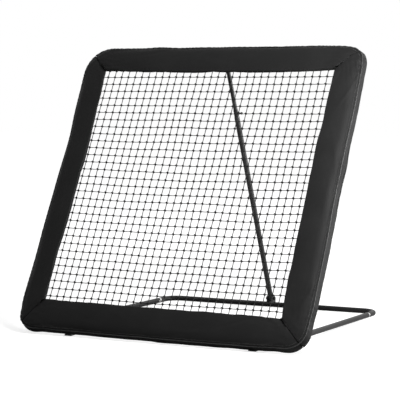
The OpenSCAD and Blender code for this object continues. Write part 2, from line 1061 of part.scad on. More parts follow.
module clamp_screw() {
    tip = upper_r + 0.3;
    color(ZINC)
        in_strut()
            translate([tip, 0, clamp_s])
                rotate([0, 90, 0])
                    cylinder(r = screw_r, h = knob_x - knob_r / 3 - tip);
}

module clamp_knob() {
    color(MOULDED)
        in_strut()
            translate([knob_x, 0, clamp_s])
                rotate([0, 90, 0])
                    difference() {
                        sphere(knob_r);
                        translate([0, 0, -knob_r - 1])
                            cylinder(r = screw_r + hold, h = knob_r * 2 / 3 + 1 + hold);
                    }
}

module strut_upper_tube() {
    color(STEEL)
        in_strut()
            translate([0, 0, strut_len])
                difference() {
                    translate([0, 0, -upper_len])
                        pipe(upper_r, strut_wall, upper_len + tube_past);
                    translate([-upper_d, 0, 0])
                        rotate([0, 90, 0])
                            cylinder(r = bolt_r + hold, h = 2 * upper_d);
                }
}

// A plastic guide on the upper tube's lower end, which slides in the lower tube
module strut_guide() {
    guide_r = lower_r - strut_wall - run;
    collar = 25;
    cap = 2;
    color(MOULDED)
        in_strut()
            translate([0, 0, strut_len - upper_len])
                rotate_extrude()
                    polygon([
                        [0, -cap], [guide_r, -cap], [guide_r, collar], [upper_r + hold, collar],
                        [upper_r + hold, -seat / 2], [0, -seat / 2]
                    ]);
}

module strut_top_plug() {
    color(MOULDED)
        in_strut()
            translate([0, 0, strut_len + tube_past])
                plug(upper_r, strut_wall, plug_t, tube_past - bolt_r - 3 * hold);
}

// The bolt's head and nut bear on the washers
module top_pivot_bolt() {
    color(ZINC)
        in_strut()
            translate([0, 0, strut_len])
                bolt(grip_top + seat + washer_t, bolt_tail);
}

module top_pivot_nut() {
    color(ZINC)
        in_strut()
            translate([0, 0, strut_len])
                nut(grip_top + seat + washer_t);
}

module top_pivot_washers() {
    color(ZINC)
        in_strut()
            translate([0, 0, strut_len])
                both_sides()
                    translate([grip_top + seat, 0, 0])
                        rotate([0, 90, 0])
                            difference() {
                                cylinder(r = washer_r, h = washer_t);
                                translate([0, 0, -1])
                                    cylinder(r = bolt_r + hold, h = washer_t + 2);
                            }
}

frame_tube_upper();
frame_tube_lower();
frame_joint_screws();
net();
net_border_rope();
net_ties();
pad_top();
pad_bottom();
pad_left();
pad_right();
straps_top();
straps_bottom();
straps_left();
straps_right();
foot_left();
foot_right();
foot_sole_left();
foot_sole_right();
foot_screws();
top_bracket();
hinge_bracket_left();
hinge_bracket_right();
rear_bar();
base_arm_left();
base_arm_right();
arm_sleeve_left();
arm_sleeve_right();
arm_joint_screws();
arm_cap_left();
arm_cap_right();
hinge_bolt_left();
hinge_bolt_right();
hinge_nuts();
strut_foot_bracket();
strut_foot_bolt();
strut_foot_nut();
strut_lower_tube();
strut_foot_plug();
clamp_boss();
clamp_screw();
clamp_knob();
strut_upper_tube();
strut_guide();
strut_top_plug();
top_pivot_bolt();
top_pivot_nut();
top_pivot_washers();
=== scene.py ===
"""A leaning ball rebounder: padded frame, knotted net, ground frame and telescoping strut.

The solids come ready made. This script dresses them: it gives every solid its finish, and makes
the sewn sleeves, the knotted net, the laid border rope, the elastic ties and the studio. All
sizes are in metres and angles in radians unless a name says otherwise.

Places on the leaning frame are given as (x, v, depth): x across, v up the slope from the floor,
and depth behind the faces of the sleeves.
"""
import logging
import math
from dataclasses import dataclass, field
from enum import Enum
from typing import Optional, Sequence

import bpy
import numpy as np
from mathutils import Matrix, Vector


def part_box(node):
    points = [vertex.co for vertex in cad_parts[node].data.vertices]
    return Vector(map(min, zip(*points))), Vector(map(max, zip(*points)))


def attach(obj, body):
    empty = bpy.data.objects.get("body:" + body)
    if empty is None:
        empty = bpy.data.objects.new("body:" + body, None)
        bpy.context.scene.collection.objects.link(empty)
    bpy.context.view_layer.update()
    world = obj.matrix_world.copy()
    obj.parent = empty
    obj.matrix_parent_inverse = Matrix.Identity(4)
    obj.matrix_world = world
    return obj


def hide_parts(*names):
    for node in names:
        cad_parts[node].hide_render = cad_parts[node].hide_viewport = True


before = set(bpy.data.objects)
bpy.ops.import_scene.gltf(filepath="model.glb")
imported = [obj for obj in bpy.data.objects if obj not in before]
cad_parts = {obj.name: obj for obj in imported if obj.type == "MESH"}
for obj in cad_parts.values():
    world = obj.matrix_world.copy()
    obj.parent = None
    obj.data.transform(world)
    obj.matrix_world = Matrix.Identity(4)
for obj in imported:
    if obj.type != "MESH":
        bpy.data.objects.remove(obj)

log = logging.getLogger("rebounder")
MM = 0.001


# ---------------------------------------------------------------------------
# Sizes
# ---------------------------------------------------------------------------


@dataclass(frozen=True)
class FrameSizes:
    """Driving sizes of the leaning frame and of what it carries.

    Sill is the height of the window's lower edge up the slope. Tube_q is how far the frame
    tube's axis lies outside the window's edges, and the tucks are the same for the border rope:
    of its upright runs, and of its lower and upper run.
    """

    opening_w: float = 1.037
    opening_h: float = 1.028
    sill: float = 0.150
    lean: float = math.radians(28.5)
    tube_q: float = 0.051
    tube_depth: float = 0.0285
    tube_r: float = 0.0125
    rope_depth: float = 0.0185
    rope_r: float = 0.0025
    rope_tuck: float = 0.015
    rope_tuck_low: float = 0.0075
    rope_tuck_high: float = 0.006

    @property
    def half_w(self) -> float:
        """Half the width of the window."""
        return self.opening_w / 2

    @property
    def half_h(self) -> float:
        """Half the height of the window, up the slope."""
        return self.opening_h / 2

    @property
    def mid_v(self) -> float:
        """Height of the window's middle, up the slope."""
        return self.sill + self.half_h

    @property
    def middle_y(self) -> float:
        """How far the origin lies behind the line where the sleeves' faces meet the floor."""
        tube_y = self.tube_low * math.sin(self.lean) + self.tube_depth * math.cos(self.lean)
        return tube_y - self.tube_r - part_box("frame_tube_lower")[0][1]

    @property
    def tube_low(self) -> float:
        """Height of the lower frame tube's axis, up the slope."""
        return self.sill - self.tube_q

    @property
    def tube_high(self) -> float:
        """Height of the upper frame tube's axis, up the slope."""
        return self.sill + self.opening_h + self.tube_q

    @property
    def rope_half(self) -> float:
        """Distance of the border rope's upright runs from the middle."""
        return self.half_w + self.rope_tuck

    @property
    def rope_low(self) -> float:
        """Height of the border rope's lower run, up the slope."""
        return self.sill - self.rope_tuck_low

    @property
    def rope_high(self) -> float:
        """Height of the border rope's upper run, up the slope."""
        return self.sill + self.opening_h + self.rope_tuck_high

    @property
    def slope(self) -> np.ndarray:
        """Direction up the slope."""
        return np.array([0.0, math.sin(self.lean), math.cos(self.lean)])

    @property
    def facing(self) -> np.ndarray:
        """Direction in which the sleeves' faces look."""
        return np.array([0.0, -math.cos(self.lean), math.sin(self.lean)])

    def place(self, x: np.ndarray, v: np.ndarray, depth: np.ndarray) -> np.ndarray:
        """Turn places on the leaning frame into points.

        Args:
            x: distance across.
            v: distance up the slope from the floor.
            depth: distance behind the sleeves' faces.

        Returns:
            Points, with a last axis of x, y and z.
        """
        x, v, depth = np.broadcast_arrays(x, v, depth)
        sin, cos = math.sin(self.lean), math.cos(self.lean)
        y = v * sin + depth * cos - self.middle_y
        return np.stack([x, y, v * cos - depth * sin], axis=-1)


SIZES = FrameSizes()


# ---------------------------------------------------------------------------
# Mesh making
# ---------------------------------------------------------------------------


@dataclass
class Skin:
    """Points and faces of one piece, gathered before they become a mesh.

    Faces of one corner count share an array, and each has an array of UVs of the same shape.
    """

    points: np.ndarray
    faces: list[np.ndarray] = field(default_factory=list)
    uvs: list[np.ndarray] = field(default_factory=list)

    def add_faces(self, faces: np.ndarray, uv: Optional[np.ndarray] = None) -> "Skin":
        """Add faces of one corner count.

        Args:
            faces: numbers of the points at their corners.
            uv: UVs of the shape faces.shape + (2,), or None where no finish needs them.

        Returns:
            This skin.
        """
        self.faces.append(faces.astype(np.int32))
        self.uvs.append(np.zeros(faces.shape + (2,)) if uv is None else uv)
        return self

    def tiled(self, centres: np.ndarray) -> "Skin":
        """Copy this skin to each centre.

        Args:
            centres: points of the shape (k, 3).

        Returns:
            A skin with k copies.
        """
        count, size = len(centres), len(self.points)
        made = Skin((centres[:, None, :] + self.points[None]).reshape(-1, 3))
        step = (np.arange(count) * size)[:, None, None]
        for faces, uv in zip(self.faces, self.uvs):
            every = (faces[None] + step).reshape(-1, faces.shape[1])
            made.add_faces(every, np.tile(uv, (count, 1, 1)))
        return made

    def into_object(self, name: str) -> bpy.types.Object:
        """Make the smooth-shaded mesh and its object, with the object at the origin.

        Args:
            name: name of the piece.

        Returns:
            The new object, linked to the scene.
        """
        mesh = bpy.data.meshes.new(name)
        corners = np.concatenate([faces.ravel() for faces in self.faces])
        starts, at = [], 0
        for faces in self.faces:
            starts.append(at + np.arange(len(faces)) * faces.shape[1])
            at += faces.size
        starts = np.concatenate(starts)
        mesh.vertices.add(len(self.points))
        mesh.vertices.foreach_set("co", self.points.astype(np.float32).ravel())
        mesh.loops.add(len(corners))
        mesh.loops.foreach_set("vertex_index", corners.astype(np.int32))
        mesh.polygons.add(len(starts))
        mesh.polygons.foreach_set("loop_start", starts.astype(np.int32))
        mesh.polygons.foreach_set("use_smooth", np.full(len(starts), True))
        uvs = np.concatenate([uv.ravel() for uv in self.uvs])
        layer = mesh.uv_layers.new(name="UVMap")
        layer.data.foreach_set("uv", uvs.astype(np.float32))
        mesh.update(calc_edges=True)
        mesh.validate()
        piece = bpy.data.objects.new(name, mesh)
        bpy.context.scene.collection.objects.link(piece)
        return piece


def wrapped_grid(rows: int, cols: int, close_rows: bool = False) -> np.ndarray:
    """Quads over a grid that closes on itself along its columns, facing away from its inside.

    Args:
        rows: number of rows, or stations.
        cols: number of points round each row.
        close_rows: whether the last row joins the first.

    Returns:
        Quads of the shape (n, 4).
    """
    i = np.arange(rows if close_rows else rows - 1)[:, None]
    j = np.arange(cols)[None, :]
    after, beside = (i + 1) % rows, (j + 1) % cols
    corners = [i * cols + j, i * cols + beside, after * cols + beside, after * cols + j]
    return np.stack(np.broadcast_arrays(*corners), axis=-1).reshape(-1, 4)


def grid_uvs(along: np.ndarray, around: np.ndarray, close_rows: bool = False) -> np.ndarray:
    """UVs in metres for the quads of wrapped_grid.

    Args:
        along: distance of each row from the first.
        around: distance of each column from the first, with the whole girth as its last value.
        close_rows: whether the last row joins the first.

    Returns:
        UVs of the shape (n, 4, 2).
    """
    rows, cols = len(along), len(around) - 1
    i = np.arange(rows if close_rows else rows - 1)[:, None]
    j = np.arange(cols)[None, :]
    length = np.append(along, along[-1] + (along[-1] - along[-2]))
    u = np.stack(np.broadcast_arrays(length[i], length[i], length[i + 1], length[i + 1]), axis=-1)
    v = np.stack(np.broadcast_arrays(around[j], around[j + 1], around[j + 1], around[j]), axis=-1)
    u, v = np.broadcast_arrays(u, v)
    return np.stack([u, v], axis=-1).reshape(-1, 4, 2)


def unit(vectors: np.ndarray) -> np.ndarray:
    """Vectors of length one along the last axis."""
    return vectors / np.linalg.norm(vectors, axis=-1, keepdims=True)


def grid_normals(points: np.ndarray) -> np.ndarray:
    """Outward normals of a grid of stations by section, which closes along its section.

    Args:
        points: points of the shape (rows, cols, 3).

    Returns:
        A direction of length one for each point.
    """
    run = np.gradient(points, axis=0)
    over = np.roll(points, -1, axis=1) - np.roll(points, 1, axis=1)
    return unit(np.cross(over, run))


def path_length(path: np.ndarray) -> np.ndarray:
    """Distance of each point of a path from its start."""
    return np.append(0.0, np.cumsum(np.linalg.norm(np.diff(path, axis=0), axis=1)))


def sweep(
    path: np.ndarray,
    up: np.ndarray,
    section: np.ndarray,
    closed: bool = False,
) -> Skin:
    """A section carried along a path: point = path + up * a + side * b.

    Args:
        path: points of the shape (m, 3).
        up: a direction for each point, square to the path.
        section: (a, b) offsets, of the shape (n, 2) or, where it changes, (m, n, 2).
        closed: whether the path closes on itself.

    Returns:
        The skin, with its ends capped where the path is open.
    """
    if closed:
        run = np.roll(path, -1, axis=0) - np.roll(path, 1, axis=0)
    else:
        run = np.gradient(path, axis=0)
    side = unit(np.cross(run, up))
    up = unit(np.cross(side, run))
    section = np.broadcast_to(section, (len(path),) + section.shape[-2:])
    points = path[:, None] + up[:, None] * section[..., :1] + side[:, None] * section[..., 1:]
    rows, cols = points.shape[:2]
    around = path_length(np.concatenate([section[0], section[0, :1]]))
    skin = Skin(points.reshape(-1, 3))
    skin.add_faces(wrapped_grid(rows, cols, closed), grid_uvs(path_length(path), around, closed))
    if not closed:
        lid = np.arange(cols)[None]
        skin.add_faces(lid[:, ::-1])
        skin.add_faces(lid + (rows - 1) * cols)
    return skin


def threads(
    start: np.ndarray, end: np.ndarray, radius: np.ndarray, sides: int, sag: float = 0.0
) -> Skin:
    """Many short cords at once: point = start + (end - start) * t - droop(t) + radius(t) * ring.

    The droop is the parabola 4 * sag * t * (1 - t), downward.

    Args:
        start: first ends, of the shape (k, 3).
        end: last ends, of the shape (k, 3).
        radius: radius at even steps from start to end.
        sides: number of faces round a cord.
        sag: droop of the middle.

    Returns:
        One skin with all the cords.
    """
    count, rows = len(start), len(radius)
    t = np.linspace(0, 1, rows)[None, :, None]
    axis = start[:, None] + (end - start)[:, None] * t
    axis[..., 2] -= sag * 4 * (t * (1 - t))[..., 0]
    run = unit(end - start)
    rough = np.where(np.abs(run[:, 2:3]) < 0.7, [[0.0, 0.0, 1.0]], [[1.0, 0.0, 0.0]])
    side = unit(np.cross(run, rough))
    up = np.cross(side, run)
    turn = np.arange(sides) * 2 * np.pi / sides
    ring = side[:, None] * np.cos(turn)[None, :, None] + up[:, None] * np.sin(turn)[None, :, None]
    points = axis[:, :, None] + ring[:, None] * radius[None, :, None, None]
    one = wrapped_grid(rows, sides)
    step = (np.arange(count) * rows * sides)[:, None, None]
    length = float(np.linalg.norm(end - start, axis=1).mean())
    around = np.linspace(0, 2 * np.pi * radius.max(), sides + 1)
    uv = np.tile(grid_uvs(np.linspace(0, length, rows), around), (count, 1, 1))
    skin = Skin(points.reshape(-1, 3)).add_faces((one[None] + step).reshape(-1, 4), uv)
    lids = np.stack([np.arange(sides)[::-1], np.arange(sides) + (rows - 1) * sides])
    skin.add_faces((lids[None] + step).reshape(-1, sides))
    return skin


def round_section(radius: float, sides: int) -> np.ndarray:
    """Offsets of a round section."""
    turn = np.arange(sides) * 2 * np.pi / sides
    return radius * np.stack([np.cos(turn), np.sin(turn)], axis=-1)


def waves(
    along: np.ndarray, across: np.ndarray, seed: int, count: int, shortest: float, longest: float
) -> np.ndarray:
    """A smooth random field: a sum of sine waves of random directions, lengths and phases.

    Args:
        along: distance along the piece.
        across: distance across the piece.
        seed: choice of the pattern.
        count: number of waves.
        shortest: shortest wave.
        longest: longest wave.

    Returns:
        Values of about -1 to 1.
    """
    draw = np.random.default_rng(seed)
    heading = draw.uniform(0, 2 * np.pi, count)
    number = 2 * np.pi / draw.uniform(shortest, longest, count)
    phase = draw.uniform(0, 2 * np.pi, count)
    total = np.zeros(np.broadcast(along, across).shape)
    for angle, k, p in zip(heading, number, phase):
        total = total + np.sin(k * (along * math.cos(angle) + across * math.sin(angle)) + p)
    return total / math.sqrt(count)


# ---------------------------------------------------------------------------
# Finishes
# ---------------------------------------------------------------------------


class NodeBench:
    """Places and joins shader nodes in one tree."""

    def __init__(self, tree: bpy.types.NodeTree) -> None:
        """Take the tree to work in."""
        self.tree = tree

    def add(self, kind: str, inputs: Optional[dict] = None, **settings: object) -> bpy.types.Node:
        """Place a node.

        Args:
            kind: Blender's name of the node's type.
            inputs: values or output sockets for its named or numbered inputs.
            **settings: values of the node's own properties.

        Returns:
            The node.
        """
        node = self.tree.nodes.new(kind)
        for name, value in settings.items():
            setattr(node, name, value)
        for name, value in (inputs or {}).items():
            if isinstance(value, bpy.types.NodeSocket):
                self.tree.links.new(value, node.inputs[name])
            else:
                node.inputs[name].default_value = value
        return node

    def math(
        self, operation: str, a: object, b: object = 0.0, clamp: bool = False
    ) -> bpy.types.NodeSocket:
        """Place one sum.

        Args:
            operation: Blender's name of the sum.
            a: its first value or socket.
            b: its second value or socket.
            clamp: whether the result is kept from 0 to 1.

        Returns:
            The socket of the result.
        """
        node = self.add("ShaderNodeMath", {0: a, 1: b}, operation=operation, use_clamp=clamp)
        return node.outputs[0]

    def blend(self, factor: object, a: object, b: object) -> bpy.types.NodeSocket:
        """Place a mix of two colours.

        Args:
            factor: share of b, as a value or socket.
            a: the colour at a share of 0.
            b: the colour at a share of 1.

        Returns:
            The socket of the mixed colour.
        """
        node = self.add("ShaderNodeMix", data_type="RGBA")
        for socket, value in ((node.inputs[0], factor), (node.inputs[6], a), (node.inputs[7], b)):
            if isinstance(value, bpy.types.NodeSocket):
                self.tree.links.new(value, socket)
            else:
                socket.default_value = value
        return node.outputs[2]

    def noise(self, vector: object, scale: object, detail: float = 2.0) -> bpy.types.NodeSocket:
        """Place smooth noise.

        Args:
            vector: socket of the places.
            scale: features a metre, as a value or socket.
            detail: number of finer layers.

        Returns:
            The socket of the noise, from 0 to 1.
        """
        settings = {"Vector": vector, "Scale": scale, "Detail": detail}
        return self.add("ShaderNodeTexNoise", settings).outputs["Fac"]


class EffectGroups:
    """Shader groups that several finishes share, each built once."""

    _made: dict[str, bpy.types.NodeTree] = {}

    @classmethod
    def _open(
        cls, name: str, inputs: Sequence[tuple[str, float]], outputs: Sequence[str]
    ) -> NodeBench:
        """Start a group, which also has a Vector input.

        Args:
            name: name of the group.
            inputs: names and first values of its float inputs.
            outputs: names of its float outputs.

        Returns:
            A bench in the group.
        """
        tree = bpy.data.node_groups.new(name, "ShaderNodeTree")
        tree.interface.new_socket("Vector", in_out="INPUT", socket_type="NodeSocketVector")
        for label, value in inputs:
            socket = tree.interface.new_socket(label, in_out="INPUT", socket_type="NodeSocketFloat")
            socket.default_value = value
        for label in outputs:
            tree.interface.new_socket(label, in_out="OUTPUT", socket_type="NodeSocketFloat")
        cls._made[name] = tree
        return NodeBench(tree)

    @classmethod
    def leather_grain(cls) -> bpy.types.NodeTree:
        """Pebbled grain of coated cloth: cells with soft valleys, broken up by fine noise."""
        if "LeatherGrain" not in cls._made:
            bench = cls._open("LeatherGrain", [("Cells", 900.0)], ["Height"])
            into = bench.add("NodeGroupInput")
            cells = bench.add(
                "ShaderNodeTexVoronoi",
                {"Vector": into.outputs["Vector"], "Scale": into.outputs["Cells"]},
                feature="DISTANCE_TO_EDGE",
            )
            pebble = bench.math("MULTIPLY", cells.outputs[0], 3.5, clamp=True)
            valley = bench.math("SUBTRACT", 1.0, pebble, clamp=True)
            fine = bench.noise(into.outputs["Vector"], 2600.0, 3.0)
            height = bench.math("SUBTRACT", bench.math("MULTIPLY", fine, 0.4), valley)
            bench.add("NodeGroupOutput", {"Height": height})
        return cls._made["LeatherGrain"]

    @classmethod
    def handling(cls) -> bpy.types.NodeTree:
        """Cloudy marks left by hands and dust: two noises, the finer one masked by the broader."""
        if "Handling" not in cls._made:
            bench = cls._open("Handling", [("Broad", 9.0), ("Fine", 70.0)], ["Marks"])
            into = bench.add("NodeGroupInput")
            broad = bench.noise(into.outputs["Vector"], into.outputs["Broad"], 3.0)
            fine = bench.noise(into.outputs["Vector"], into.outputs["Fine"], 4.0)
            edge = bench.add(
                "ShaderNodeMapRange", {"Value": broad, "From Min": 0.42, "From Max": 0.68}
            ).outputs[0]
            bench.add("NodeGroupOutput", {"Marks": bench.math("MULTIPLY", edge, fine)})
        return cls._made["Handling"]

    @classmethod
    def twist(cls) -> bpy.types.NodeTree:
        """Lay of a twisted cord: ridges that run slantwise over a UV map in metres."""
        if "Twist" not in cls._made:
            bench = cls._open("Twist", [("Pitch", 0.004), ("Girth", 0.006)], ["Height"])
            into = bench.add("NodeGroupInput")
            parts = bench.add("ShaderNodeSeparateXYZ", {0: into.outputs["Vector"]})
            along = bench.math("DIVIDE", parts.outputs[0], into.outputs["Pitch"])
            around = bench.math("DIVIDE", parts.outputs[1], into.outputs["Girth"])
            turns = bench.math("MULTIPLY", bench.math("ADD", along, around), 2 * math.pi)
            ridge = bench.math("ABSOLUTE", bench.math("SINE", turns))
            bench.add("NodeGroupOutput", {"Height": ridge})
        return cls._made["Twist"]

    @classmethod
    def weave(cls) -> bpy.types.NodeTree:
        """Plain weave: warp and weft waves that take turns on top."""
        if "Weave" not in cls._made:
            bench = cls._open("Weave", [("Threads", 900.0)], ["Height"])
            into = bench.add("NodeGroupInput")
            parts = bench.add("ShaderNodeSeparateXYZ", {0: into.outputs["Vector"]})
            across = bench.math("ADD", parts.outputs[1], parts.outputs[2])
            rate = bench.math("MULTIPLY", into.outputs["Threads"], 2 * math.pi)
            warp = bench.math("SINE", bench.math("MULTIPLY", parts.outputs[0], rate))
            weft = bench.math("SINE", bench.math("MULTIPLY", across, rate))
            bench.add("NodeGroupOutput", {"Height": bench.math("MULTIPLY", warp, weft)})
        return cls._made["Weave"]

    @classmethod
    def orange_peel(cls) -> bpy.types.NodeTree:
        """Faint ripple of a baked powder coat: one smooth noise."""
        if "OrangePeel" not in cls._made:
            bench = cls._open("OrangePeel", [("Ripples", 420.0)], ["Height"])
            into = bench.add("NodeGroupInput")
            ripple = bench.noise(into.outputs["Vector"], into.outputs["Ripples"], 1.0)
            bench.add("NodeGroupOutput", {"Height": ripple})
        return cls._made["OrangePeel"]


class Relief(Enum):
    """Which surface pattern a finish has."""

    GRAIN = "grain"
    PEEL = "peel"
    WEAVE = "weave"
    TWIST = "twist"
    MOULDED = "moulded"
    BRUSHED = "brushed"


@dataclass(frozen=True)
class Finish:
    """One finish of the rebounder.

    Grey and rubbed_grey are sRGB levels of 0 to 255, of the clean and of the handled surface, and
    rough_swing is what handling adds to the roughness. Relief_depth is in metres, and
    relief_scale is in features a metre, or for a twist the distance between its ridges.
    """

    name: str
    grey: float
    rubbed_grey: float
    roughness: float
    rough_swing: float
    relief: Relief
    relief_depth: float
    relief_scale: float
    bump: float = 0.5
    metallic: float = 0.0
    specular: float = 0.5
    sheen: float = 0.0
    tint: tuple[float, float, float] = (1.0, 1.0, 1.0)

    def colour(self, grey: float) -> tuple[float, float, float, float]:
        """The tinted linear colour of an sRGB level.

        Args:
            grey: level from 0 to 255.

        Returns:
            Red, green, blue and an alpha of 1.
        """
        level = grey / 255
        linear = level / 12.92 if level <= 0.04045 else ((level + 0.055) / 1.055) ** 2.4
        return tuple(linear * share for share in self.tint) + (1.0,)

    def build(self) -> bpy.types.Material:
        """Make the material, unless it was made before.

        Returns:
            The material.
        """
        ready = bpy.data.materials.get(self.name)
        if ready is not None:
            return ready
        material = bpy.data.materials.new(self.name)
        material.use_nodes = True
        tree = material.node_tree
        tree.nodes.clear()
        bench = NodeBench(tree)
        places = bench.add("ShaderNodeTexCoord")
        on_object, on_uv = places.outputs["Object"], places.outputs["UV"]
        marks = bench.add("ShaderNodeGroup", node_tree=EffectGroups.handling())
        tree.links.new(on_object, marks.inputs["Vector"])
        height = self._height(bench, on_object, on_uv)
        worn = marks.outputs["Marks"]
        colour = bench.blend(worn, self.colour(self.grey), self.colour(self.rubbed_grey))
        rough = bench.math("ADD", bench.math("MULTIPLY", worn, self.rough_swing), self.roughness)
        bump = bench.add(
            "ShaderNodeBump",
            {"Strength": self.bump, "Distance": self.relief_depth, "Height": height},
        )
        shader = bench.add(
            "ShaderNodeBsdfPrincipled",
            {
                "Base Color": colour,
                "Roughness": rough,
                "Metallic": self.metallic,
                "Specular IOR Level": self.specular,
                "Sheen Weight": self.sheen,
                "Normal": bump.outputs[0],
            },
        )
        bench.add("ShaderNodeOutputMaterial", {"Surface": shader.outputs[0]})
        return material

    def _height(
        self, bench: NodeBench, on_object: bpy.types.NodeSocket, on_uv: bpy.types.NodeSocket
    ) -> bpy.types.NodeSocket:
        """The height that feeds the bump, by the finish's kind of relief.

        Args:
            bench: bench in the finish's tree.
            on_object: socket of places on the piece.
            on_uv: socket of places on its UV map.

        Returns:
            The socket of the height.
        """
        if self.relief is Relief.BRUSHED:
            stretch = {"Vector": on_object, "Scale": (3000.0, 60.0, 3000.0)}
            drawn = bench.add("ShaderNodeMapping", stretch)
            return bench.noise(drawn.outputs[0], 1.0, 2.0)
        if self.relief is Relief.MOULDED:
            return bench.noise(on_object, self.relief_scale, 3.0)
        group, label, vector = {
            Relief.GRAIN: (EffectGroups.leather_grain, "Cells", on_object),
            Relief.PEEL: (EffectGroups.orange_peel, "Ripples", on_object),
            Relief.WEAVE: (EffectGroups.weave, "Threads", on_object),
            Relief.TWIST: (EffectGroups.twist, "Pitch", on_uv),
        }[self.relief]
        placed = bench.add("ShaderNodeGroup", node_tree=group())
        bench.tree.links.new(vector, placed.inputs["Vector"])
        placed.inputs[label].default_value = self.relief_scale
        return placed.outputs["Height"]


SLEEVE_VINYL = Finish(
    "SleeveVinyl", grey=23, rubbed_grey=28, roughness=0.46, rough_swing=0.14, relief=Relief.GRAIN,
    relief_depth=0.00025, relief_scale=700.0, bump=0.35, specular=0.05,
)
# The welt's vinyl is the sleeve's vinyl coloured lighter, a painted highlight along the seam
# between face and side.
WELT_VINYL_PAINTED_HIGHLIGHT = Finish(
    "WeltVinylPaintedHighlight", grey=40, rubbed_grey=50, roughness=0.38, rough_swing=0.1, relief=Relief.GRAIN,
    relief_depth=0.0001, relief_scale=1500.0, bump=0.3, specular=0.2,
)
SEWING_THREAD = Finish(
    "SewingThread", grey=58, rubbed_grey=66, roughness=0.6, rough_swing=0.1, relief=Relief.TWIST,
    relief_depth=0.0001, relief_scale=0.001,
)
NET_CORD = Finish(
    "NetCord", grey=14, rubbed_grey=22, roughness=0.7, rough_swing=0.1, relief=Relief.TWIST,
    relief_depth=0.0004, relief_scale=0.003, bump=0.7, specular=0.2,
)
LAID_ROPE = Finish(
    "LaidRope", grey=28, rubbed_grey=40, roughness=0.68, rough_swing=0.1, relief=Relief.TWIST,
    relief_depth=0.0003, relief_scale=0.0015, sheen=0.1,
)
ELASTIC = Finish(
    "ElasticBraid", grey=30, rubbed_grey=40, roughness=0.72, rough_swing=0.1, relief=Relief.WEAVE,
    relief_depth=0.0002, relief_scale=1100.0,
)
WEBBING = Finish(
    "StrapWebbing", grey=32, rubbed_grey=42, roughness=0.74, rough_swing=0.1, relief=Relief.WEAVE,
    relief_depth=0.0004, relief_scale=450.0, bump=0.8, sheen=0.1,
)
GROUND_COAT = Finish(
    "GroundCoat", grey=26, rubbed_grey=34, roughness=0.36, rough_swing=0.14, relief=Relief.PEEL,
    relief_depth=0.0001, relief_scale=420.0, bump=0.35, specular=0.1,
)
POWDER_COAT = Finish(
    "PowderCoat", grey=30, rubbed_grey=38, roughness=0.34, rough_swing=0.14, relief=Relief.PEEL,
    relief_depth=0.0001, relief_scale=420.0, bump=0.35, specular=0.35,
)
BLACK_ZINC = Finish(
    "BlackZinc", grey=40, rubbed_grey=55, roughness=0.35, rough_swing=0.15, relief=Relief.BRUSHED,
    relief_depth=0.00003, relief_scale=1.0, bump=0.3, metallic=1.0,
)
ZINC = Finish(
    "ZincPlate", grey=205, rubbed_grey=188, roughness=0.28, rough_swing=0.18, relief=Relief.BRUSHED,
    relief_depth=0.00003, relief_scale=1.0, bump=0.3, metallic=1.0, tint=(1.0, 1.0, 0.985),
)
MOULDED = Finish(
    "MouldedPlastic", grey=32, rubbed_grey=42, roughness=0.48, rough_swing=0.14,
    relief=Relief.MOULDED, relief_depth=0.0002, relief_scale=1200.0, bump=0.35,
)
SOLE_RUBBER = Finish(
    "SoleRubber", grey=28, rubbed_grey=44, roughness=0.78, rough_swing=0.12,
    relief=Relief.MOULDED, relief_depth=0.0003, relief_scale=900.0,
)


def dress(piece: bpy.types.Object, finish: Finish) -> None:
    """Give a piece one finish all over."""
    piece.data.materials.clear()
    piece.data.materials.append(finish.build())


# ---------------------------------------------------------------------------
# Sewn sleeves
# ---------------------------------------------------------------------------


class Side(Enum):
    """A side of the window, with the turn that takes the lower sleeve there."""

    BOTTOM = 0
    RIGHT = 90
    TOP = 180
    LEFT = -90

    @property
    def label(self) -> str:
        """The side's name in piece names."""
        return self.name.lower()

    @property
    def half_run(self) -> float:
        """Half the window's length along this side."""
        return SIZES.half_w if self in (Side.BOTTOM, Side.TOP) else SIZES.half_h

    @property
    def half_across(self) -> float:
        """Half the window's length square to this side."""
        return SIZES.half_h if self in (Side.BOTTOM, Side.TOP) else SIZES.half_w

    def place(self, x: np.ndarray, q: np.ndarray, depth: np.ndarray) -> np.ndarray:
        """Turn places on this side's sleeve into points.

        Args:
            x: distance along the side. It grows the way it does along the lower side, and turns
                with the side.
            q: distance outward from the window's edge.
            depth: distance behind the sleeves' faces.

        Returns:
            Points, with a last axis of x, y and z.
        """
        turn = math.radians(self.value)
        y = -self.half_across - q
        across = x * math.cos(turn) - y * math.sin(turn)
        up = x * math.sin(turn) + y * math.cos(turn)
        return SIZES.place(across, SIZES.mid_v + up, depth)


@dataclass(frozen=True)
class SleeveShape:
    """How one sleeve strays from its even form, in millimetres at even steps along its run.

    The steps go the way x does along the side, and a pair is for the side's start and end. Bulge
    is how far the inner edge comes into the window, and draw is how far the outer side is drawn
    in. Fill is how far the stuffing pushes the outer side out at the mitres, and a higher
    fill_power keeps it closer to them. Lift is how far the window's corners are raised.
    """

    bulge: tuple[float, ...]
    draw: tuple[float, ...]
    fill: tuple[float, float]
    fill_power: float = 2.5
    lift: tuple[float, float] = (0, 0)
    blur: float = 0.20
    fade: float = 0.1

    def spread(self, values: tuple[float, ...], u: np.ndarray) -> np.ndarray:
        """Smooth the values of even steps: Gaussian-weighted means that fade at the ends.

        Args:
            values: values at even steps from u = -1 to 1, in millimetres.
            u: places along the run.

        Returns:
            A value for each u, in metres.
        """
        knots = np.linspace(-1, 1, len(values))
        weight = np.exp(-(((np.asarray(u)[..., None] - knots) / self.blur) ** 2))
        mean = (weight * np.array(values)).sum(axis=-1) / weight.sum(axis=-1)
        return mean * MM * np.clip((1 - np.abs(u)) / self.fade, 0, 1)


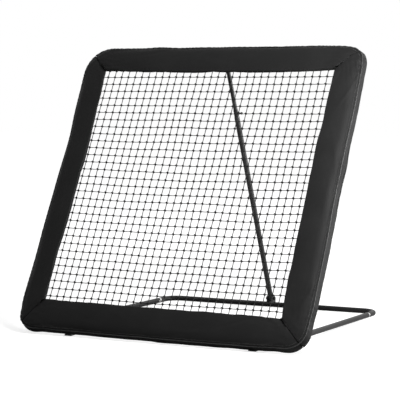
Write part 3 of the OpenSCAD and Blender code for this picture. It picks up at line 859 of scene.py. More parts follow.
SLEEVE_SHAPES: dict[Side, SleeveShape] = {
    Side.BOTTOM: SleeveShape(
        bulge=(0, 9.5, 7.5, 7, 6, 5, 0),
        draw=(-1.5, -2.5, -4, -4.5, -6, -5, -3),
        fill=(22, 20),
        fill_power=1.7,
        lift=(11, 0),
    ),
    Side.RIGHT: SleeveShape(
        bulge=(3, 8.5, 8.5, 9, 10, 3, 0),
        draw=(-3, -5, -3, 1.5, -1, -4, -2),
        fill=(20, 18),
    ),
    Side.TOP: SleeveShape(
        bulge=(4, 8.5, 8.5, 8, 9, 4.5, -1),
        draw=(0, 0, 0, 0, 0, 0, 0),
        fill=(18, 3),
    ),
    Side.LEFT: SleeveShape(
        bulge=(0, 6, 11, 6.5, 6, -2, 0),
        draw=(0, 7, 14, 8.5, 4, 6, 0),
        fill=(3, 22),
        fill_power=4.0,
        lift=(0, 11),
    ),
}


@dataclass(frozen=True)
class ClothPass:
    """A short cloth simulation that lets a sewn cover swell and pucker between its seams."""

    frames: int = 20
    quality: int = 5
    mass: float = 0.3
    tension: float = 15.0
    shear: float = 5.0
    bending: float = 0.5
    pressure: float = 4.0
    spare: float = 0.010
    cap: float = 3.5 * MM

    def settle(self, form: np.ndarray, quads: np.ndarray, held: np.ndarray) -> np.ndarray:
        """Simulate the cover from its even form.

        The cloth is cut a little too large, by the share spare, is blown up from inside without
        gravity, and is held along its seams. How far a point moves is capped by cap * tanh(move
        / cap).

        Args:
            form: points of the cover, as a grid of the shape (rows, cols, 3).
            quads: faces over the grid's points.
            held: share from 0 to 1 by which each point is held, of the shape (rows, cols).

        Returns:
            How far each point moves, of the shape (rows, cols, 3).
        """
        scene = bpy.context.scene
        cover = Skin(form.reshape(-1, 3)).add_faces(quads).into_object("cover_form")
        group = cover.vertex_groups.new(name="held")
        for level in np.unique(held):
            group.add(np.flatnonzero(held.ravel() == level).tolist(), float(level), "REPLACE")
        cloth = cover.modifiers.new("Cover", "CLOTH")
        cloth.point_cache.frame_start, cloth.point_cache.frame_end = 1, self.frames
        cloth.collision_settings.use_collision = False
        rules = cloth.settings
        rules.quality = self.quality
        rules.mass = self.mass
        rules.tension_stiffness = rules.compression_stiffness = self.tension
        rules.shear_stiffness = self.shear
        rules.bending_stiffness = self.bending
        rules.use_pressure = True
        rules.uniform_pressure_force = self.pressure
        rules.shrink_min = -self.spare
        rules.effector_weights.gravity = 0.0
        rules.vertex_group_mass = "held"
        for number in range(1, self.frames + 1):
            scene.frame_set(number)
        settled = cover.evaluated_get(bpy.context.evaluated_depsgraph_get())
        flat = np.empty(form.size, dtype=np.float32)
        settled.data.vertices.foreach_get("co", flat)
        mesh = cover.data
        bpy.data.objects.remove(cover)
        bpy.data.meshes.remove(mesh)
        scene.frame_set(1)
        move = flat.reshape(form.shape).astype(float) - form
        size = np.linalg.norm(move, axis=-1, keepdims=True)
        return move * self.cap * np.tanh(size / self.cap) / np.maximum(size, 1e-9)


@dataclass(frozen=True)
class CoverRelief:
    """The small relief of one sewn cover, from its seed and half the length of its side.

    Dent, fold, gather and dip are heights. A reach is the distance over which its kind of relief
    dies away, a pitch is the distance between two ridges, and fold_start is how soon the folds
    are in full beside a mitre.
    """

    seed: int
    half_run: float
    dent: float = 0.7 * MM
    fold: float = 0.7 * MM
    fold_reach: float = 0.055
    fold_start: float = 0.012
    fold_pitch: float = 0.027
    gather: float = 0.55 * MM
    gather_reach: float = 0.013
    gather_pitch: float = 0.021
    crease_count: int = 11
    dip: float = 0.0008
    dip_reach: float = 0.0045

    def height(
        self,
        x: np.ndarray,
        q: np.ndarray,
        depth: np.ndarray,
        from_mitre: np.ndarray,
        from_welt: np.ndarray,
    ) -> np.ndarray:
        """How far the cloth stands out of its even form.

        The sum of broad dents, folds that run out from the mitres, small gathers beside the
        welt, a few single creases and the dip at the mitre seam.

        Args:
            x: distance along the side.
            q: distance outward from the window's edge.
            depth: distance behind the faces.
            from_mitre: distance from the nearer mitre seam.
            from_welt: distance from the welt.

        Returns:
            Heights in metres.
        """
        girth = q + depth
        dents = self.dent * waves(x, girth * 0.6, self.seed, count=9, shortest=0.09, longest=0.30)
        pull = np.exp(-from_mitre / self.fold_reach)
        slant = 0.35 * waves(x, q, self.seed + 1, count=4, shortest=0.06, longest=0.15)
        fan_out = np.sin(2 * np.pi * (girth / self.fold_pitch + slant))
        folds = self.fold * pull * fan_out * np.clip(from_mitre / self.fold_start, 0, 1)
        uneven = 0.5 * waves(x, q * 0, self.seed + 2, count=3, shortest=0.08, longest=0.2)
        ripple = np.sin(2 * np.pi * (x / self.gather_pitch + uneven))
        gathers = self.gather * np.exp(-from_welt / self.gather_reach) * ripple
        dip = self.dip * np.exp(-((from_mitre / self.dip_reach) ** 2))
        return dents + folds + gathers + self.creases(x, girth) - dip

    def creases(self, x: np.ndarray, girth: np.ndarray) -> np.ndarray:
        """A few single soft creases: ridges with a Gaussian section and rounded ends.

        Args:
            x: distance along the side.
            girth: distance over the section, from the window's edge.

        Returns:
            Heights in metres.
        """
        draw = np.random.default_rng(self.seed + 7)
        total = np.zeros(np.broadcast(x, girth).shape)
        for _ in range(self.crease_count):
            at = draw.uniform(-0.92, 0.92) * self.half_run
            over = draw.uniform(0.02, 0.13)
            heading = draw.uniform(-0.5, 0.5)
            length, width = draw.uniform(0.035, 0.11), draw.uniform(0.006, 0.012)
            height = draw.uniform(-1.3, 1.6) * MM
            s = (x - at) * math.cos(heading) + (girth - over) * math.sin(heading)
            t = (girth - over) * math.cos(heading) - (x - at) * math.sin(heading)
            total = total + height * np.exp(-((s / length) ** 2) - (t / width) ** 2)
        return total


@dataclass(frozen=True)
class Section:
    """A sleeve's section, as arrays over its points.

    Rise is the share of the crown that a point takes, cover is the share of the relief that it
    takes, from 0 inside the tube's channel to 1 where the cloth shows, and nq and nd are the
    section's outward normal.
    """

    q: np.ndarray
    depth: np.ndarray
    rise: np.ndarray
    cover: np.ndarray
    nq: np.ndarray
    nd: np.ndarray


@dataclass
class SewnSleeve:
    """One padded sleeve: coated cloth over foam, mitred at both ends.

    Crown is how far the face stands out. Crown_wave is the share by which it comes and goes along
    the side, and crown_loss is the share that is gone at the mitres. Steps are the numbers of
    points of the section: on the panel's back, the nose, the face, the roll, the side, the back
    corner, the back and the channel's wall.
    """

    side: Side
    seed: int
    width: float = 0.116
    full_depth: float = 0.056
    panel: float = 0.014
    crown: float = 0.0035
    crown_run: float = 1.6
    crown_wave: float = 0.12
    crown_loss: float = 0.55
    seam_depth: float = 0.017
    seam_in: float = 0.007
    roll_q: float = 0.068
    roll_rise: float = 0.64
    roll_end: float = math.radians(75)
    back_r: float = 0.009
    back_cover: float = 0.6
    channel_q: float = 0.0685
    bend_c: float = 0.0075
    mitre: float = math.radians(45)
    mitre_gap: float = 0.0008
    lift_reach: float = 0.09
    hold_reach: float = 0.02
    even_reach: float = 0.045
    welt_r: float = 1.5 * MM
    welt_sides: int = 10
    welt_stand: float = 0.35
    stitch_margin: float = 0.004
    stitch_pitch: float = 5.2 * MM
    stitch_length: float = 3.4 * MM
    stitch_r: float = 0.45 * MM
    stations: int = 190
    station_packing: float = 0.86
    corner_stations: int = 26
    steps: tuple[int, ...] = (14, 14, 16, 12, 10, 8, 6, 6)

    @property
    def welt_column(self) -> int:
        """The section's point at the welt, which follows the roll."""
        return sum(self.steps[:4])

    @property
    def face_column(self) -> int:
        """A point of the section on the face, two steps past the nose."""
        return sum(self.steps[:2]) + 2

    @property
    def seam_q(self) -> float:
        """Distance of the welt outward from the window's edge."""
        return self.width - self.seam_in

    def section(self) -> Section:
        """The section of the sleeve's even form.

        It runs from the inner corner of the tube's channel along the back of the front panel,
        round the half-round nose, over the face to the roll and down it to the welt, along the
        bulging side, round the back corner, along the back and down the channel's wall. The
        face's rise is the parabola 1 - (crown_run * u - 1)^2, and the roll takes up the rest.

        Returns:
            The section's points with their rise, cover and normals.
        """
        back, nose, face, roll, side, corner, lap, wall = self.steps
        nose_r = self.panel / 2
        nose_turn = np.linspace(np.pi / 2, 3 * np.pi / 2, nose, endpoint=False)
        u = np.linspace(0, 1, face, endpoint=False)
        a = np.linspace(0, self.roll_end, roll, endpoint=False)
        share = np.sin(a) / math.sin(self.roll_end)
        drop = (1 - np.cos(a)) / (1 - math.cos(self.roll_end))
        t = np.linspace(0, 1, side, endpoint=False)
        side_to = self.full_depth - self.back_r
        bulge = self.seam_q + self.seam_in * np.sin(t * np.pi / 2)
        turn = np.linspace(0, np.pi / 2, corner, endpoint=False)
        corner_q = self.width - self.back_r + self.back_r * np.cos(turn)
        lap_q = np.linspace(self.width - self.back_r, self.channel_q, lap, endpoint=False)
        wall_depth = np.linspace(self.full_depth, self.panel, wall, endpoint=False)
        parts = [
            (np.linspace(self.channel_q, nose_r, back, endpoint=False), self.panel, 0.0, 0.0),
            (nose_r + nose_r * np.cos(nose_turn), nose_r + nose_r * np.sin(nose_turn), 0.0, 1.0),
            (nose_r + (self.roll_q - nose_r) * u, 0.0, 1 - (self.crown_run * u - 1) ** 2, 1.0),
            (
                self.roll_q + (self.seam_q - self.roll_q) * share,
                self.seam_depth * drop,
                self.roll_rise * (1 - share),
                1.0,
            ),
            (bulge, self.seam_depth + (side_to - self.seam_depth) * t, 0.0, 1.0),
            (corner_q, side_to + self.back_r * np.sin(turn), 0.0, 1.0),
            (lap_q, self.full_depth, 0.0, self.back_cover),
            (self.channel_q, wall_depth, 0.0, 0.0),
        ]
        spread = [np.broadcast_arrays(*part) for part in parts]
        q, depth, rise, cover = (np.concatenate(values) for values in zip(*spread))
        tq = np.roll(q, -1) - np.roll(q, 1)
        td = np.roll(depth, -1) - np.roll(depth, 1)
        length = np.hypot(tq, td)
        return Section(q, depth, rise, cover, td / length, -tq / length)

    def lines(self) -> tuple[np.ndarray, np.ndarray]:
        """Roots and angles of the lines that the section is set on.

        Lines are square to the window's edge along the straight run, and fan out round the
        corner's bend to 45 degrees at each mitre. They lie closer together towards the mitres.

        Returns:
            Roots along the side and angles in radians.
        """
        reach = self.side.half_run - self.bend_c
        even = np.linspace(-1, 1, self.stations)
        end = math.sin(np.pi / 2 * self.station_packing)
        run = reach * np.sin(even * np.pi / 2 * self.station_packing) / end
        fan = np.linspace(0, 1, self.corner_stations + 1)[1:]
        fan = self.mitre * (1 - (1 - fan) ** 1.5)
        roots = np.concatenate([np.full(len(fan), -reach), run, np.full(len(fan), reach)])
        angles = np.concatenate([-fan[::-1], np.zeros(len(run)), fan])
        return roots, angles

    def surface(self) -> np.ndarray:
        """The sleeve's skin.

        The even form is settled as cloth, held in the tube's channel, along the welt and at the
        mitres. Then the smaller relief is added along the cloth's normals.

        Returns:
            Points, as a grid of stations by section of the shape (rows, cols, 3).
        """
        cut = self.section()
        roots, angles = self.lines()
        root, angle = roots[:, None], angles[:, None]
        reach = self.side.half_run - self.bend_c
        swell = 1 + self.crown_wave * np.cos(3 * np.pi * root / reach)
        swell = swell * (1 - self.crown_loss * (np.abs(angle) / self.mitre) ** 2)
        depth = cut.depth[None]
        q = cut.q[None] - self.bow(cut.q[None], root / reach)
        x0, q0 = self.on_line(root, angle, q)
        from_mitre = np.maximum((self.side.half_run + q0 - np.abs(x0)) / math.sqrt(2), 0)
        rise = cut.rise[None] * self.crown * swell
        x, out = self.on_line(root, angle, q + cut.nq[None] * rise)
        at_mitre = np.abs(angle) > self.mitre - math.radians(0.1)
        closing = np.sign(angle) * at_mitre * self.mitre_gap / 2
        points = self.side.place(x - closing, out, depth + cut.nd[None] * rise)
        points = points + self.corner_lift(x0, q0)
        points = self.settled(points, cut.cover, from_mitre)
        from_welt = np.hypot(q - self.seam_q, depth - self.seam_depth)
        relief = CoverRelief(self.seed, self.side.half_run)
        stand = relief.height(x0, q, depth, from_mitre, from_welt) * cut.cover[None]
        return points + grid_normals(points) * stand[..., None]

    def settled(self, points: np.ndarray, cover: np.ndarray, from_mitre: np.ndarray) -> np.ndarray:
        """The cover after the cloth pass.

        The cloth is held in full up to 0.6 * hold_reach from a mitre, and is free from 1.6 *
        hold_reach. Near a mitre its move goes over, by exp(-(from_mitre / even_reach)^2), to the
        median swelling of the sleeve's middle, so that both sleeves of a corner stay alike there.

        Args:
            points: the even form, as a grid of the shape (rows, cols, 3).
            cover: 0 where a point of the section lies in the channel.
            from_mitre: distance of each point from the nearer mitre seam.

        Returns:
            The settled points, of the same shape as points.
        """
        held = np.clip(1.6 - from_mitre / self.hold_reach, 0, 1).round(1)
        held[:, cover == 0] = 1.0
        held[:, self.welt_column] = 1.0
        move = ClothPass().settle(points, wrapped_grid(*points.shape[:2])[:, ::-1], held)
        out = grid_normals(points)
        middle = slice(self.stations // 3, -self.stations // 3)
        swelling = np.median((move * out).sum(axis=-1)[middle], axis=0)
        share = np.exp(-((from_mitre / self.even_reach) ** 2))[..., None]
        return points + move * (1 - share) + out * swelling[None, :, None] * share

    def outer_share(self, q: np.ndarray) -> np.ndarray:
        """A share that grows from 0 at the tube's channel to 1 at the outer side."""
        return np.clip((q - self.channel_q) / (self.width - self.channel_q), 0, 1)

    def inner_share(self, q: np.ndarray) -> np.ndarray:
        """A share that falls from 1 at the window's edge to 0 at the tube's channel."""
        return np.clip(1 - q / self.channel_q, 0, 1)

    def bow(self, q: np.ndarray, u: np.ndarray) -> np.ndarray:
        """How far the sleeve shifts towards the window: bulge * inner share + draw * outer share.

        Args:
            q: distance outward from the window's edge.
            u: place along the straight run, from -1 to 1.

        Returns:
            Shifts in metres.
        """
        shape = SLEEVE_SHAPES[self.side]
        bulge, draw = shape.spread(shape.bulge, u), shape.spread(shape.draw, u)
        return bulge * self.inner_share(q) + draw * self.outer_share(q)

    def corner_lift(self, x: np.ndarray, q: np.ndarray) -> np.ndarray:
        """How far the window's corners pull the cover up the slope.

        The pull is lift * inner share * exp(-(distance from the corner along the side /
        lift_reach)^2), so that both sleeves of a corner move alike at their mitre.

        Args:
            x: distance along the side.
            q: distance outward from the window's edge.

        Returns:
            Shifts, with a last axis of x, y and z.
        """
        near = np.exp(-(((self.side.half_run - np.abs(x)) / self.lift_reach) ** 2))
        share = self.inner_share(q) * near
        pull = np.where(x < 0, *SLEEVE_SHAPES[self.side].lift) * MM * share
        return pull[..., None] * SIZES.slope

    def on_line(
        self, root: np.ndarray, angle: np.ndarray, q: np.ndarray
    ) -> tuple[np.ndarray, np.ndarray]:
        """Place q on the section lines.

        The bend's centre lies bend_c inside the window's edge, and the line is stretched near
        the edge so that the edge itself stays straight up to the mitre. The outer side is fuller
        near the mitre, by fill * |sin(2 * angle)|^fill_power * outer share.

        Args:
            root: place of each line's root along the side.
            angle: angle of each line from the square of the edge.
            q: distance outward from the window's edge.

        Returns:
            Distance along the side, and outward from the window's edge.
        """
        shape = SLEEVE_SHAPES[self.side]
        stretch = self.bend_c * (1 / np.cos(angle) - 1)
        share = np.abs(np.sin(2 * angle)) ** shape.fill_power
        fill = np.where(angle < 0, *shape.fill) * MM * share
        straight = stretch * np.maximum(1 - q / SIZES.tube_q, 0)
        reach = self.bend_c + q + straight + fill * self.outer_share(q)
        return root + reach * np.sin(angle), reach * np.cos(angle) - self.bend_c

    def build(self) -> list[bpy.types.Object]:
        """Make the sleeve, its welt and its stitches, and put them on the frame.

        Returns:
            The three pieces.
        """
        points = self.surface()
        rows, cols = points.shape[:2]
        skin = Skin(points.reshape(-1, 3))
        along = path_length(points[:, self.face_column])
        around = path_length(np.concatenate([points[rows // 2], points[rows // 2, :1]]))
        skin.add_faces(wrapped_grid(rows, cols)[:, ::-1], grid_uvs(along, around)[:, ::-1])
        fan = np.arange(1, cols - 1)
        caps = np.stack([np.zeros_like(fan), fan, fan + 1], axis=-1)
        skin.add_faces(caps)
        skin.add_faces(caps[:, ::-1] + (rows - 1) * cols)
        sleeve = skin.into_object(f"sleeve_{self.side.label}")
        dress(sleeve, SLEEVE_VINYL)
        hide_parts(f"pad_{self.side.label}")
        pieces = [sleeve, self._welt(points), self._stitches(points)]
        for piece in pieces:
            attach(piece, "front_frame")
        return pieces

    def _welt(self, points: np.ndarray) -> bpy.types.Object:
        """The corded welt: a round section swept along the seam between face and side.

        Args:
            points: the sleeve's skin.

        Returns:
            The welt.
        """
        out = grid_normals(points)[:, self.welt_column]
        path = points[:, self.welt_column] + out * self.welt_r * self.welt_stand
        welt = sweep(path[1:-1], out[1:-1], round_section(self.welt_r, self.welt_sides))
        piece = welt.into_object(f"welt_{self.side.label}")
        # The welt's lighter vinyl is a painted highlight along the seam.
        dress(piece, WELT_VINYL_PAINTED_HIGHLIGHT)
        return piece

    def _stitches(self, points: np.ndarray) -> bpy.types.Object:
        """The row of stitches on the face, beside the welt: short cords at an even pitch.

        Args:
            points: the sleeve's skin.

        Returns:
            The stitches, as one piece.
        """
        beside = self.welt_column - 3
        path = points[:, beside] + grid_normals(points)[:, beside] * 0.1 * MM
        distance = path_length(path)
        end = distance[-1] - 2 * self.stitch_margin
        starts = np.arange(self.stitch_margin, end, self.stitch_pitch)
        first, last = (
            np.stack([np.interp(at, distance, path[:, k]) for k in range(3)], axis=-1)
            for at in (starts, starts + self.stitch_length)
        )
        profile = self.stitch_r * np.array([0.35, 1.0, 1.0, 0.35])
        piece = threads(first, last, profile, 6).into_object(f"stitches_{self.side.label}")
        dress(piece, SEWING_THREAD)
        return piece


# ---------------------------------------------------------------------------
# Net, border rope and ties
# ---------------------------------------------------------------------------


@dataclass
class KnottedNet:
    """The net: square meshes of twisted cord, knotted at each crossing and hitched to a rope.

    Wander is how far slow waves of slack take a crossing across, up the slope and in depth, and
    lobes are the shares by which a knot's radius swells four times and twice round it.
    Turn_offset is how far the two turns of a hitch lie from its middle, in radii of the cord.
    """

    knot_columns: int = 33
    knot_rows: int = 31
    first_column: float = -0.5060
    first_row: float = 0.1785
    column_pitch: float = 0.0321
    row_pitch: float = 0.0325
    cord_r: float = 1.6 * MM
    knot_r: float = 5.3 * MM
    sag: float = 0.010
    sag_margin: float = 0.02
    droop: float = 0.9 * MM
    row_drop: float = 5.0 * MM
    row_lift: float = 2.4 * MM
    column_shear: float = 3.5 * MM
    wander: tuple[float, float, float] = (2.0 * MM, 1.8 * MM, 0.8 * MM)
    seed: int = 31
    cord_sides: int = 6
    knot_rings: int = 7
    knot_sides: int = 10
    lobes: tuple[float, float] = (0.20, 0.14)
    flatness: float = 0.78
    turn_steps: int = 14
    turn_offset: float = 1.1

    def knots(self) -> np.ndarray:
        """Places of the crossings, rope included.

        The lattice is even and lies a little to the right of the middle. Slow waves of slack
        fade out at the rope. With t from 0 at the lower rope to 1 at the upper one and
        c = 1 - (x / half)^2, the drop of a row is row_drop * c * (256 / 27) * t * (1 - t)^3,
        which is largest at a quarter of the height, the lift of a row is row_lift * sin(pi * t),
        and the shear of a column is column_shear * c * (2 * t - 1). The net sags in depth by
        sag * c * (1 - ((v - mid_v) / (half_h + sag_margin))^2).

        Returns:
            Points, as a grid of columns by rows.
        """
        half, low, high = SIZES.rope_half, SIZES.rope_low, SIZES.rope_high
        columns = self.first_column + self.column_pitch * np.arange(self.knot_columns)
        rows = self.first_row + self.row_pitch * np.arange(self.knot_rows)
        every_x = np.concatenate([[-half], columns, [half]])
        every_v = np.concatenate([[low], rows, [high]])
        x, v = np.meshgrid(every_x, every_v, indexing="ij")
        across = 1 - (x / half) ** 2
        height = (v - low) / (high - low)
        from_mid = (v - SIZES.mid_v) / (SIZES.half_h + self.sag_margin)
        bow = np.clip(across * (1 - from_mid**2), 0, 1)
        slack = np.sqrt(bow)
        drop = self.row_drop * across * 256 / 27 * height * (1 - height) ** 3
        lift = self.row_lift * np.sin(np.pi * height)
        shear = self.column_shear * across * (2 * height - 1)
        to_x, to_v, to_depth = self.wander
        broad = {"count": 6, "shortest": 0.14, "longest": 0.5}
        fine = {"count": 6, "shortest": 0.1, "longest": 0.3}
        x = x + to_x * slack * waves(x, v, self.seed, **broad) + shear
        v = v + to_v * slack * waves(x, v, self.seed + 1, **broad) - drop + lift
        ripple = to_depth * slack * waves(x, v, self.seed + 2, **fine)
        return SIZES.place(x, v, SIZES.rope_depth + self.sag * bow + ripple)

    def build(self) -> list[bpy.types.Object]:
        """Make the cords, the knots and the hitches on the rope, and put them on the frame.

        Returns:
            The four pieces.
        """
        knots = self.knots()
        inner = knots[1:-1, 1:-1]
        level = (knots[:-1, 1:-1].reshape(-1, 3), knots[1:, 1:-1].reshape(-1, 3))
        upright = (knots[1:-1, :-1].reshape(-1, 3), knots[1:-1, 1:].reshape(-1, 3))
        swell = self.cord_r * np.array([1.15, 1.0, 0.95, 1.0, 1.15])
        sides = self.cord_sides
        across = threads(*level, swell, sides, self.droop).into_object("net_cords_across")
        up = threads(*upright, swell, sides).into_object("net_cords_up")
        bead = self._knot().tiled(inner.reshape(-1, 3)).into_object("net_knots")
        hitches = self._hitches(knots)
        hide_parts("net")
        for piece in (across, up, bead, hitches):
            dress(piece, NET_CORD)
            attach(piece, "front_frame")
        return [across, up, bead, hitches]

    def _knot(self) -> Skin:
        """A sheet bend, as a flattened lumpy ball that lies in the net's plane.

        With the tilt from its crown and the turn round it, the radius is knot_r * (1 + lobe_4 *
        cos(4 * turn) * sin(tilt)^2 + lobe_2 * cos(2 * turn + 0.8) * sin(tilt)).

        Returns:
            The knot's skin, round the origin.
        """
        rows, sides = self.knot_rings, self.knot_sides
        tilt = np.linspace(0, np.pi, rows)[:, None]
        turn = (np.arange(sides) * 2 * np.pi / sides)[None]
        four = self.lobes[0] * np.cos(4 * turn) * np.sin(tilt) ** 2
        two = self.lobes[1] * np.cos(2 * turn + 0.8) * np.sin(tilt)
        radius = self.knot_r * (1 + four + two)
        x = radius * np.sin(tilt) * np.cos(turn)
        v = radius * np.sin(tilt) * np.sin(turn)
        w = self.flatness * radius * np.cos(tilt) * np.ones_like(turn)
        sin, cos = math.sin(SIZES.lean), math.cos(SIZES.lean)
        turned = np.stack([x, v * sin + w * cos, v * cos - w * sin], axis=-1)
        top, bottom = turned[0].mean(axis=0), turned[-1].mean(axis=0)
        count = (rows - 2) * sides
        skin = Skin(np.concatenate([turned[1:-1].reshape(-1, 3), top[None], bottom[None]]))
        skin.add_faces(wrapped_grid(rows - 2, sides))
        here, beside = np.arange(sides), (np.arange(sides) + 1) % sides
        skin.add_faces(np.stack([np.full(sides, count), beside, here], axis=-1))
        last = (rows - 3) * sides
        skin.add_faces(np.stack([np.full(sides, count + 1), last + here, last + beside], axis=-1))
        return skin

    def _hitches(self, knots: np.ndarray) -> bpy.types.Object:
        """Two turns of cord round the border rope wherever a cord of the net meets it.

        Each turn is a ring: point = centre + (rope radius + cord radius) * circle, swept with a
        round section.

        Args:
            knots: places of the crossings, from knots().

        Returns:
            The hitches, as one piece.
        """
        turn = np.arange(self.turn_steps) * 2 * np.pi / self.turn_steps
        reach = SIZES.rope_r + self.cord_r
        section = round_section(self.cord_r, self.cord_sides)
        level, slope = np.array([1.0, 0.0, 0.0]), SIZES.slope
        edges = [
            (knots[1:-1, 0], level, slope),
            (knots[1:-1, -1], level, slope),
            (knots[0, 1:-1], slope, level),
            (knots[-1, 1:-1], slope, level),
        ]
        skins = []
        for centres, rope, first in edges:
            second = np.cross(rope, first)
            circle = np.cos(turn)[:, None] * first + np.sin(turn)[:, None] * second
            for step in (-self.turn_offset, self.turn_offset):
                ring = circle * reach + rope * step * self.cord_r
                skins.append(sweep(ring, circle, section, closed=True).tiled(centres))
        return join(skins).into_object("net_hitches")


def join(skins: Sequence[Skin]) -> Skin:
    """Gather several skins into one.

    Args:
        skins: the skins.

    Returns:
        A skin with all their points, and with their faces renumbered.
    """
    made = Skin(np.concatenate([skin.points for skin in skins]))
    at = 0
    for skin in skins:
        for faces, uv in zip(skin.faces, skin.uvs):
            made.add_faces(faces + at, uv)
        at += len(skin.points)
    return made


@dataclass
class BorderRope:
    """The net's border rope, laid of three strands, as a rounded oblong loop.

    Step is the distance of its stations, lay is what a strand advances in one turn, and lobe is
    the depth of the grooves between strands, as a share of the radius.
    """

    bend_r: float = 0.008
    step: float = 0.0022
    lay: float = 0.017
    lobe: float = 0.14
    sides: int = 12
    strands: int = 3
    bend_steps: int = 7

    def build(self) -> bpy.types.Object:
        """Make the rope and put it on the frame.

        Its radius is rope_r * (1 - lobe + lobe * |cos(strands / 2 * (angle - twist / strands))|),
        where the twist grows evenly along it, by a whole number of turns in all.

        Returns:
            The rope.
        """
        x, v = self._loop()
        path = SIZES.place(x, v, np.full(len(x), SIZES.rope_depth))
        normal = np.broadcast_to(SIZES.facing, path.shape)
        distance = path_length(np.concatenate([path, path[:1]]))
        turns = round(distance[-1] / self.lay)
        twist = 2 * np.pi * turns * distance[:-1] / distance[-1]
        around = (np.arange(self.sides) * 2 * np.pi / self.sides)[None]
        ridge = np.abs(np.cos(self.strands / 2 * (around - twist[:, None] / self.strands)))
        radius = SIZES.rope_r * (1 - self.lobe + self.lobe * ridge)
        section = np.stack([radius * np.cos(around), radius * np.sin(around)], axis=-1)
        rope = sweep(path, normal, section, closed=True).into_object("border_rope")
        dress(rope, LAID_ROPE)
        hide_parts("net_border_rope")
        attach(rope, "front_frame")
        return rope

    def _loop(self) -> tuple[np.ndarray, np.ndarray]:
        """The rope's axis: four straight runs with quarter circles between them.

        Returns:
            Distances across, and up the slope.
        """
        half, low, high = SIZES.rope_half, SIZES.rope_low, SIZES.rope_high
        mid, reach = (low + high) / 2, (high - low) / 2
        xs, vs = [], []
        corners = [(1, -1, -90), (1, 1, 0), (-1, 1, 90), (-1, -1, 180)]
        run = {-90: 2 * (reach - self.bend_r), 0: 2 * (half - self.bend_r)}
        run.update({90: run[-90], 180: run[0]})
        for side_x, side_v, start in corners:
            turn = np.radians(np.linspace(start, start + 90, self.bend_steps))
            cx, cv = side_x * (half - self.bend_r), mid + side_v * (reach - self.bend_r)
            bend_x, bend_v = cx + self.bend_r * np.cos(turn), cv + self.bend_r * np.sin(turn)
            count = int(run[start] / self.step)
            t = np.linspace(0, 1, count + 1)[1:-1] * run[start]
            heading = turn[-1] + np.pi / 2
            xs += [bend_x, bend_x[-1] + t * math.cos(heading)]
            vs += [bend_v, bend_v[-1] + t * math.sin(heading)]
        return np.concatenate(xs), np.concatenate(vs)


@dataclass
class ElasticTies:
    """Braided elastic bands that hold the border rope to the frame tube.

    Ties_a_side of them share each side. Those of the level sides end halfway between foot and
    hinge bracket, and those of the upright sides end tie_corner short of the window's corners.
    """

    ties_a_side: int = 8
    thick: float = 1.5 * MM
    wide: float = 4.8 * MM
    gap: float = 0.25 * MM
    tie_corner: float = 0.062
    foot_x: float = 0.4035
    foot_w: float = 0.030
    arm_x: float = 0.497
    hinge_grip: float = 0.0144
    wrap_steps: int = 26
    tip_steps: int = 12

    def build(self) -> bpy.types.Object:
        """Make a band round tube and rope at each place of the solids' ties.

        Returns:
            The bands, as one piece.
        """
        end_x = (self.foot_x + self.foot_w / 2 + self.arm_x - self.hinge_grip) / 2
        end_v = SIZES.half_h - self.tie_corner
        last = self.ties_a_side - 1
        low, high = SIZES.tube_low, SIZES.tube_high
        tube_x = SIZES.half_w + SIZES.tube_q
        inward = SIZES.rope_tuck - SIZES.tube_q
        skins = []
        for share in np.arange(-last, last + 1, 2) / last:
            x, v = share * end_x, SIZES.mid_v + share * end_v
            skins.append(self._band(x, low, 0.0, SIZES.rope_low - low))
            skins.append(self._band(x, high, 0.0, SIZES.rope_high - high))
            skins.append(self._band(tube_x, v, inward, 0.0))
            skins.append(self._band(-tube_x, v, -inward, 0.0))
        piece = join(skins).into_object("elastic_ties")
        dress(piece, ELASTIC)
        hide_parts("net_ties")
        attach(piece, "front_frame")
        return piece

    def _band(self, x: float, v: float, to_x: float, to_v: float) -> Skin:
        """One band: the outline of two discs with their outer tangents, swept with a flat section.

        Args:
            x: place of the tube's axis across.
            v: place of the tube's axis up the slope.
            to_x: offset of the rope's axis across.
            to_v: offset of the rope's axis up the slope.

        Returns:
            The band's skin.
        """
        drop = SIZES.tube_depth - SIZES.rope_depth
        span = math.hypot(to_x, to_v)
        big = SIZES.tube_r + self.gap + self.thick / 2
        small = SIZES.rope_r + self.gap + self.thick / 2
        distance = math.hypot(span, drop)
        lean = math.acos((big - small) / distance)
        axis = math.atan2(drop, span)
        wrap = axis + np.linspace(lean, 2 * np.pi - lean, self.wrap_steps)
        tip = axis + np.linspace(-lean, lean, self.tip_steps)
        a = np.concatenate([big * np.cos(wrap), span + small * np.cos(tip)])
        b = np.concatenate([big * np.sin(wrap), drop + small * np.sin(tip)])
        out_a = np.concatenate([np.cos(wrap), np.cos(tip)])
        out_b = np.concatenate([np.sin(wrap), np.sin(tip)])
        ux, uv = to_x / span, to_v / span
        path = SIZES.place(x + a * ux, v + a * uv, SIZES.tube_depth - b)
        out = SIZES.place(out_a * ux, out_a * uv, -out_b) - SIZES.place(0.0, 0.0, 0.0)
        return sweep(path, out, self._flat_section(), closed=True)

    def _flat_section(self) -> np.ndarray:
        """A flat oblong section with rounded ends.

        Returns:
            Offsets of the shape (n, 2).
        """
        turn = np.linspace(-np.pi / 2, np.pi / 2, 5)
        end = np.stack([self.thick / 2 * np.sin(turn), self.thick / 2 * np.cos(turn)], axis=-1)
        end[:, 1] += self.wide / 2 - self.thick / 2
        return np.concatenate([end, -end])


# ---------------------------------------------------------------------------
# Finishes of the solids
# ---------------------------------------------------------------------------


